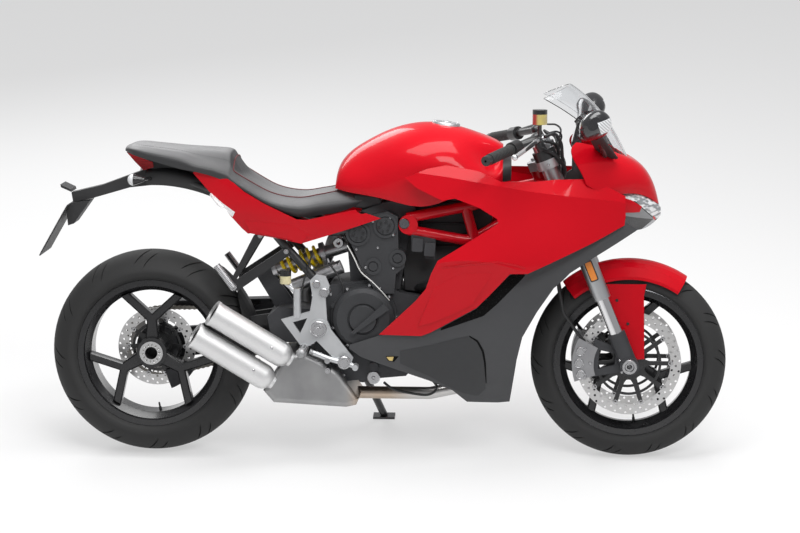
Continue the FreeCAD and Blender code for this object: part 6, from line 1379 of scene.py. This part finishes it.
def wheel_details():
    """Bright beads on the rims' lips, the front axle's ring nuts and the calipers' piston caps."""
    for name, body, centre, half in (("front_rim_lips", "front_wheel", FRONT_AXLE, 0.0475),
                                     ("rear_rim_lips", "rear_wheel", REAR_AXLE, 0.0730)):
        beads = ((0.2290, half, 0.0016), (0.2225, half - 0.0010, 0.0012))
        lips = [lathe(circle(radius, reach, thick, 8), centre, (0, side, 0), 96, True)
                for side in SIDES for radius, reach, thick in beads]
        group(name, lips, body, PLAIN["lips"])
    rings, caps = [], []
    width = 0.0145
    cap = [(0, 0.0030), (width * 0.55, 0.0030), (width * 0.60, 0.0018), (width * 0.80, 0.0018),
           (width * 0.85, 0.0040), (width - 0.001, 0.0040), (width, 0.0030), (width, -0.004)]
    for side in SIDES:
        face = beside("fork_bottoms", WHEELBASE + 0.021, FRONT_RADIUS, side)[0]
        rings.append(lathe([(0.0140, 0.0030), (0.0150, 0.0055), (0.0215, 0.0055), (0.0232, 0.0035), (0.0235, -0.004),
                            (0.0140, -0.004)], (WHEELBASE, face.y, FRONT_RADIUS), (0, side, 0), 40, True))
        caps += [lathe(cap, beside("front_calipers", x, z, side)[0], (0, side, 0), 28)
                 for x, z in ((1.322, 0.340), (1.318, 0.303), (1.324, 0.268))]
    group("axle_rings", rings, "steering", PLAIN["front_axle"])
    group("caliper_caps", caps, "steering", PLAIN["front_axle"])


def frame_bolts():
    """Grey caps on the frame's rear lugs and the fender's dark screws."""
    cap = [(0, 0.0026), (0.0052, 0.0026), (0.0058, 0.0044), (0.0140, 0.0044), (0.0160, 0.0024), (0.0160, -0.004)]
    screw = [(0, 0.0010), (0.0020, 0.0010), (0.0022, 0.0024), (0.0040, 0.0022), (0.0046, 0.0010), (0.0046, -0.0020)]
    caps = [lathe(cap, *beside("main_frame", 0.785, 0.735, side), 32) for side in SIDES]
    screws = [lathe(screw, *beside("front_fender", x, z, side), 20)
              for side in SIDES for x, z in ((1.431, 0.495), (1.465, 0.423))]
    group("frame_caps", caps, "chassis", PLAIN["lips"])
    group("fender_screws", screws, "steering", PLAIN["cockpit_trim"])


def mirror_feet():
    """The blades that carry the mirrors up from the nose, one ring of points after another."""
    rings, sides = 8, 20
    forms = []
    for k in range(rings + 1):
        t = k / rings
        x, y, z = [a + (b - a) * t for a, b in zip((1.392, 0.128, 0.948), (1.345, 0.275, 1.028))]
        length, thick = 0.034 - 0.010 * t, 0.010 - 0.002 * t
        forms.append([(x + length * math.cos(turn), y + thick * math.sin(turn) * 0.5,
                       z + thick * math.sin(turn) - 0.35 * length * math.cos(turn))
                      for turn in angles(sides)])
    group("mirror_feet", [across_bike(skinned(forms))], "chassis", PLAIN["cockpit_trim"])


# ---- Tank cap, display, reflectors and number plate ----

def filler_cap():
    """A stepped ring round a hinged cap, held by six screws."""
    place, facing = touch("tank", (0.905, 0, 1.2), (0, 0, -1))
    ring = lathe([(0, 0.0045), (0.020, 0.0045), (0.0205, 0.0055), (0.033, 0.0055), (0.0340, 0.0030),
                  (0.0345, 0.0030), (0.0350, 0.0052), (0.041, 0.0046), (0.043, 0.0020), (0.043, -0.010)],
                 place, facing, 48)
    flap = lathe([(0, 0.0085), (0.012, 0.0080), (0.0135, 0.0065), (0.0135, 0.004)], place, facing, 20)
    group("filler_cap", [ring, flap], "chassis", PLAIN["triple_clamps"])
    along, across, way = turned(facing, (1, 0, 0))
    spots = []
    for angle in angles(6, 0.5):
        out = along * math.cos(angle) + across * math.sin(angle)
        spots.append((place + out * 0.0375 + way * 0.0046, way, along, 2.6))
    scattered("cap_screws", cap_screw(), spots, "chassis", PLAIN["front_axle"])


def rounded(width, height, corner, steps=5):
    """A rounded rectangle about its middle."""
    outline = []
    for sx, sy, first in ((1, 1, 0), (-1, 1, 90), (-1, -1, 180), (1, -1, 270)):
        for k in range(steps + 1):
            angle = math.radians(first + 90 * k / steps)
            outline.append((sx * (width / 2 - corner) + corner * math.cos(angle),
                            sy * (height / 2 - corner) + corner * math.sin(angle)))
    return outline


def tile(outline, middle, facing, along, thick):
    """A thin plate with its outline drawn on a slanted face."""
    along, across, way = turned(facing, along)
    count = len(outline)
    points = [Vector(middle) + along * u + across * v + way * level for level in (0, thick) for u, v in outline]
    return points, prism_sides(count) + [tuple(range(count)), tuple(range(count, 2 * count))]


def instruments():
    """The rider's display: a dark glass face in a rim, with lit bars and blank lamps."""
    low, high = Vector((1.288, 0, 0.962)), Vector((1.306, 0, 1.036))
    up = (high - low).normalized()
    facing = Vector((-up.z, 0, up.x))
    middle = (low + high) / 2
    rim = tile(rounded(0.108, 0.062, 0.010), middle, facing, (0, 1, 0), 0.0020)
    group("display_rim", [rim], "chassis", PLAIN["cockpit_trim"], 0.0008)
    made = Finish("display_glass", (0.008, 0.009, 0.011), 0.06, Coat_Weight=1.0, Coat_Roughness=0.02)
    _, y, z = made.upright()
    bars = (y * 1500.0).sine().ramp(0.1, 0.3) * z.ramp(1.0155, 1.016) * (1.0 - z.ramp(1.0225, 1.023))
    made.feed("Emission Color", made.mixed(bars * (1.0 - y.size().ramp(0.040, 0.041)), (0, 0, 0), (0.5, 0.62, 0.66)))
    made.shader.inputs["Emission Strength"].default_value = 0.5
    face = tile(rounded(0.098, 0.052, 0.007), middle + facing * 0.0018, facing, (0, 1, 0), 0.0008)
    group("display_face", [face], "chassis", made.material)


def fork_reflectors():
    """Amber reflectors in dark frames, one on each fork leg."""
    amber = Finish("amber_reflector", (0.85, 0.22, 0.01), 0.12, Coat_Weight=1.0, Coat_Roughness=0.03)
    facets = amber.cells(900.0)
    amber.relief(facets, 0.0008, 0.6)
    amber.feed("Base Color", amber.mixed(facets, (0.75, 0.16, 0.005), (0.95, 0.34, 0.03)))
    frames, lenses = [], []
    thick = 0.0045
    for side in SIDES:
        out = Vector((0, side, 0))
        middle = STEERING @ Vector((FORK_AHEAD, side * 0.1315, 0.317))
        frames.append(tile(rounded(0.066, 0.026, 0.005), middle, out, STEERING_UP, thick))
        lenses.append(tile(rounded(0.058, 0.019, 0.003), middle + out * thick, out, STEERING_UP, 0.0012))
    group("reflector_frames", frames, "steering", PLAIN["cockpit_trim"], 0.0008)
    group("reflector_lenses", lenses, "steering", amber.material)


def blank_plate():
    """A bare number plate with rounded corners and two bolts."""
    top, foot = Vector((-0.252, 0, 0.775)), Vector((-0.341, 0, 0.619))
    down = (foot - top).normalized()
    facing = Vector((down.z, 0, -down.x))
    middle = (top + foot) / 2 + facing * 0.0002
    white = Finish("plate_white", (0.72, 0.72, 0.70), 0.35, Coat_Weight=0.3)
    white.tint(0.05, 20.0)
    white.relief(white.clouds(60.0), 0.0004, 0.2)
    thick = 0.0012
    sheet = tile(rounded(0.172, 0.168, 0.010), middle, facing, (0, 1, 0), thick)
    group("blank_plate", [sheet], "chassis", white.material, 0.0004)
    spots = [(middle - down * 0.055 + Vector((0, y, 0)) + facing * thick, facing, (0, 1, 0), 5.0)
             for y in (-0.045, 0.045)]
    scattered("plate_bolts", cap_screw(), spots, "chassis", PLAIN["front_axle"])


# ---- Radiator ----

WATER_TUBES = 24
WATER_REACH = 0.113


def radiator_core():
    """Water tubes over fine fins on the radiator's front and back."""
    fins = Finish("radiator_fins", (0.035, 0.035, 0.037), 0.5, 0.6)
    fins.relief((fins.upright()[1] * 2600.0).sine(), 0.0012, 0.9)
    fins.tint(0.4, 40.0)
    tube_side = mesh_of("water_tube", tile(rounded(0.262, 0.0034, 0.0012, 2), *UPRIGHT, (1, 0, 0), 0.0016))
    spots, sheets = [], []
    for top, foot, side in (((1.195, 0, 0.690), (1.150, 0, 0.430), 1), ((1.160, 0, 0.700), (1.115, 0, 0.440), -1)):
        top, foot = Vector(top), Vector(foot)
        down = (foot - top).normalized()
        facing = Vector((-down.z, 0, down.x)) * side
        middle = (top + foot) / 2
        sheets.append(tile(rounded(0.268, 0.236, 0.004, 2), middle + facing * 0.0001, facing, (0, 1, 0), 0.0006))
        for k in range(WATER_TUBES):
            reach = WATER_REACH * (2 * k / (WATER_TUBES - 1) - 1)
            spots.append((middle + down * reach + facing * 0.0004, facing, (0, 1, 0), 1.0))
    group("radiator_fins", sheets, "chassis", fins.material)
    scattered("radiator_tubes", tube_side, spots, "chassis", PLAIN["radiator"], 1.0)


# ---- Silencers ----

def silencer_mouths():
    """Dark perforated liners inside both silencers."""
    soot_and_shade = Finish("soot_metal", (0.03, 0.028, 0.026), 0.7, 0.6)
    soot_and_shade.tint(0.5, 60.0)
    soot_and_shade.relief(soot_and_shade.cells(420.0), 0.001, 0.6)
    liners = []
    for start, end in SILENCERS:
        way = (Vector(end) - Vector(start)).normalized()
        liners.append(lathe([(0.0295, 0.006), (0.0295, 0.030), (0.0175, 0.036), (0.0165, 0.020), (0.0150, 0.020),
                             (0.0150, 0.080), (0.0285, 0.082), (0.0285, 0.006)], start, way, 28, True))
        liners.append(lathe([(0, 0.078), (0.0149, 0.078), (0.0149, 0.081), (0, 0.081)], start, way, 20))
    group("silencer_liners", liners, "chassis", soot_and_shade.material)


# ---- Seat ----

# Each section's place along the bike, and half of its line in y and z, from the middle down to the rim.
SEAT_SECTIONS = (
    (-0.074, ((0.0, 0.952), (0.026, 0.952), (0.046, 0.950), (0.058, 0.946), (0.058, 0.940))),
    (-0.040, ((0.0, 0.963), (0.045, 0.962), (0.076, 0.957), (0.100, 0.946), (0.100, 0.930))),
    (0.026, ((0.0, 0.958), (0.050, 0.957), (0.088, 0.951), (0.117, 0.934), (0.116, 0.912))),
    (0.100, ((0.0, 0.951), (0.055, 0.950), (0.094, 0.941), (0.126, 0.920), (0.125, 0.893))),
    (0.150, ((0.0, 0.949), (0.058, 0.946), (0.100, 0.925), (0.130, 0.902), (0.128, 0.884))),
    (0.205, ((0.0, 0.947), (0.060, 0.942), (0.105, 0.912), (0.132, 0.890), (0.130, 0.870))),
    (0.245, ((0.0, 0.942), (0.062, 0.936), (0.108, 0.902), (0.134, 0.876), (0.131, 0.854))),
    (0.262, ((0.0, 0.922), (0.066, 0.915), (0.112, 0.888), (0.137, 0.862), (0.133, 0.842))),
    (0.300, ((0.0, 0.868), (0.068, 0.868), (0.108, 0.863), (0.142, 0.838), (0.136, 0.818))),
    (0.380, ((0.0, 0.818), (0.066, 0.821), (0.102, 0.820), (0.150, 0.796), (0.144, 0.776))),
    (0.460, ((0.0, 0.803), (0.064, 0.806), (0.100, 0.806), (0.150, 0.780), (0.142, 0.752))),
    (0.530, ((0.0, 0.813), (0.060, 0.816), (0.092, 0.816), (0.132, 0.787), (0.128, 0.756))),
    (0.590, ((0.0, 0.826), (0.055, 0.828), (0.084, 0.826), (0.125, 0.795), (0.122, 0.766))),
    (0.655, ((0.0, 0.824), (0.050, 0.824), (0.078, 0.820), (0.110, 0.803), (0.108, 0.790))))
CROWN_STEPS = 7
SIDE_STEPS = 5
# Where the piping and the stitches run, in points out from the pad's middle, and the ring over the hump.
PIPING_LINE = 14
STITCH_LINE = 11
HUMP_RING = 56
STITCH_PITCH = 0.0042


def spline(points, steps):
    """Points along a smooth line through the given ones."""
    made = []
    last = len(points) - 1
    for i in range(last):
        before = points[max(i - 1, 0)]
        after = points[min(i + 2, last)]
        for k in range(steps):
            t = k / steps
            made.append(tuple(
                0.5 * (2 * b + (c - a) * t + (2 * a - 5 * b + 4 * c - d) * t * t + (3 * b - a - 3 * c + d) * t ** 3)
                for a, b, c, d in zip(before, points[i], points[i + 1], after)))
    made.append(tuple(points[last]))
    return made


def seat_rings():
    """Smooth lines over the pad from side to side, one behind the other."""
    flat = [(x,) + tuple(value for point in half for value in point) for x, half in SEAT_SECTIONS]
    rings = []
    for values in spline(flat, 8):
        x = values[0]
        half = [(values[i], values[i + 1]) for i in range(1, len(values), 2)]
        over = spline(half[:3], CROWN_STEPS) + spline(half[2:], SIDE_STEPS)[1:]
        rings.append([(x, -y, z) for y, z in reversed(over)] + [(x, y, z) for y, z in over[1:]])
    return rings


def seat_mesh():
    """Rings over the pad and flat below it, closed at both ends."""
    return mesh_of("seat_cover", skinned(seat_rings()), 60.0)


def seat_trim():
    """Piping round the rider's part, and a stitched seam along the crown of both sides."""
    rings = seat_rings()
    middle = len(rings[0]) // 2
    thread = Finish("seat_thread", (0.10, 0.012, 0.014), 0.6)
    thread.tint(0.2, 200.0)
    piping, stitches = [], []
    for side in SIDES:
        edge = [Vector(ring[middle + side * PIPING_LINE]) for ring in rings]
        rim = [point + Vector((0, side * 0.0006, 0.0004)) for point in edge if point.x > 0.2625]
        hump = [Vector(point) for point in rings[HUMP_RING][middle:middle + side * PIPING_LINE:side]]
        piping.append(tube([point + Vector((0.001, 0, 0.0006)) for point in hump] + rim, 0.0019, 8))
        seam = [Vector(ring[middle + side * STITCH_LINE]) for ring in rings]
        for k in range(1, len(seam) - 1):
            run = seam[k + 1] - seam[k]
            steps = max(int(run.length / STITCH_PITCH), 1)
            for n in range(steps):
                place = seam[k] + run * (n + 0.5) / steps
                if place.x > -0.03:
                    stitches.append((place + Vector((0, side * 0.0002, 0.0003)), (0, side * 0.55, 0.83), run, 1.0))
    group("seat_piping", piping, "chassis", thread.material)
    stitch = mesh_of("stitch", tube([(-1.4, 0, -0.1), (-0.8, 0, 0.3), (0.8, 0, 0.3), (1.4, 0, -0.1)], 0.35, 6))
    dark = Finish("seam_thread", (0.02, 0.02, 0.021), 0.55)
    dark.tint(0.3, 300.0)
    scattered("seat_stitches", stitch, stitches, "chassis", dark.material)


def seat_vinyl():
    """Grained vinyl, painted paler grey over the top as a painted sheen from the light above, and darker on the sides
    below its seam.
    """
    made = Finish("seat_vinyl", (0.05, 0.05, 0.052), 0.55)
    grain = made.cells(1100.0) + made.clouds(700.0, 3.0) * 0.5
    made.relief(grain, 0.0004, 0.5)
    # painted sheen: the colour turns paler where the vinyl faces up towards the light above
    top = made.facing((0, 0, 1)).ramp(0.62, 0.97)
    wear = made.clouds(9.0, 4.0)
    dark = made.mixed(wear, (0.022, 0.022, 0.023), (0.036, 0.036, 0.038))
    pale = made.mixed(wear, (0.13, 0.13, 0.132), (0.19, 0.19, 0.192))
    made.feed("Base Color", made.mixed(top, dark, pale))
    made.rough(0.44, 0.14, 50.0, 3.0)
    return made.material


def seat():
    made = piece("seat_cover", seat_mesh(), "chassis", seat_vinyl(), ("seat",))


# ---- Floor, light and camera ----

FLOOR_GLOW = 0.52


def studio():
    """A wide white floor, a pale sky and three soft lights."""
    floor = bpy.data.meshes.new("floor")
    far = 60.0
    floor.from_pydata([(-far, -far, 0), (far, -far, 0), (far, far, 0), (-far, far, 0)], [], [(0, 1, 2, 3)])
    ground = bpy.data.objects.new("floor", floor)
    bpy.context.scene.collection.objects.link(ground)
    made = Finish("floor_white", (0.80, 0.80, 0.80), 0.9)
    glow = made.node("ShaderNodeEmission", {}, {"Color": (0.97, 0.97, 0.97, 1.0), "Strength": 1.0})
    seen, gloss, through = [made.node("ShaderNodeLightPath", {}, {}, "Is " + kind + " Ray")
                            for kind in ("Camera", "Glossy", "Transmission")]
    blend = made.node("ShaderNodeMixShader", {}, {0: seen.most(gloss).most(through) * FLOOR_GLOW})
    mix = blend.socket.node
    made.tree.links.new(made.shader.outputs[0], mix.inputs[1])
    made.tree.links.new(glow.socket, mix.inputs[2])
    made.tree.links.new(mix.outputs[0], made.tree.nodes["Material Output"].inputs["Surface"])
    floor.materials.append(made.material)
    world = bpy.data.worlds.new("studio")
    bpy.context.scene.world = world
    world.use_nodes = True
    tree = world.node_tree
    back = tree.nodes["Background"]
    back.inputs["Color"].default_value = (0.9, 0.9, 0.92, 1.0)
    back.inputs["Strength"].default_value = 0.42
    for name, place, target, size, power in (
            ("top_light", (0.2, -0.3, 3.6), (0.0, 0.0, 0.6), (3.6, 1.8), 120.0),
            ("key_light", (1.8, -3.2, 4.4), (0.1, 0.0, 0.6), (2.6, 1.4), 110.0),
            ("rim_light", (-1.8, 3.2, 2.6), (0.0, 0.0, 0.6), (2.4, 1.4), 60.0)):
        lamp = bpy.data.lights.new(name, "AREA")
        lamp.shape = "RECTANGLE"
        lamp.size, lamp.size_y = size
        lamp.energy = power
        holder = bpy.data.objects.new(name, lamp)
        bpy.context.scene.collection.objects.link(holder)
        holder.location = place
        holder.rotation_euler = (Vector(target) - Vector(place)).to_track_quat("-Z", "Y").to_euler()
    bpy.context.scene.view_settings.view_transform = "Standard"


EYE = Vector((1.1631, -7.6071, 1.6960))
LOOK = Vector((0.7647, 0.0, 0.5821))
SENSOR = 36.0
PICTURE_WIDTH = 800
FOCAL_PIXELS = 2494.75
ROLL = math.radians(0.145)


def camera():
    """Fitted to both tyres' outlines on the upright bike, and leaning with it."""
    data = bpy.data.cameras.new("camera")
    data.sensor_width = SENSOR
    data.lens = FOCAL_PIXELS / PICTURE_WIDTH * SENSOR
    data.clip_end = 200.0
    holder = bpy.data.objects.new("camera", data)
    bpy.context.scene.collection.objects.link(holder)
    ahead = (LOOK - EYE).normalized()
    right = ahead.cross(Vector((0, 0, 1))).normalized()
    up = right.cross(ahead)
    level = math.cos(ROLL) * right + math.sin(ROLL) * up
    over = math.cos(ROLL) * up - math.sin(ROLL) * right
    axes = Matrix((level, over, -ahead)).transposed().to_4x4()
    holder.matrix_world = TO_ROW @ Matrix.Translation(EYE) @ axes
    bpy.context.scene.camera = holder


camera()
studio()
dress_nodes()
tyres()
brake_discs()
chain()
fasteners()
hoses()
filler_cap()
instruments()
fork_reflectors()
blank_plate()
radiator_core()
silencer_mouths()
seat()
seat_trim()
laid_panels()
between_panels()
engine_fittings()
lamp_tongues()
wheel_details()
frame_bolts()
red_facets()
mirror_feet()
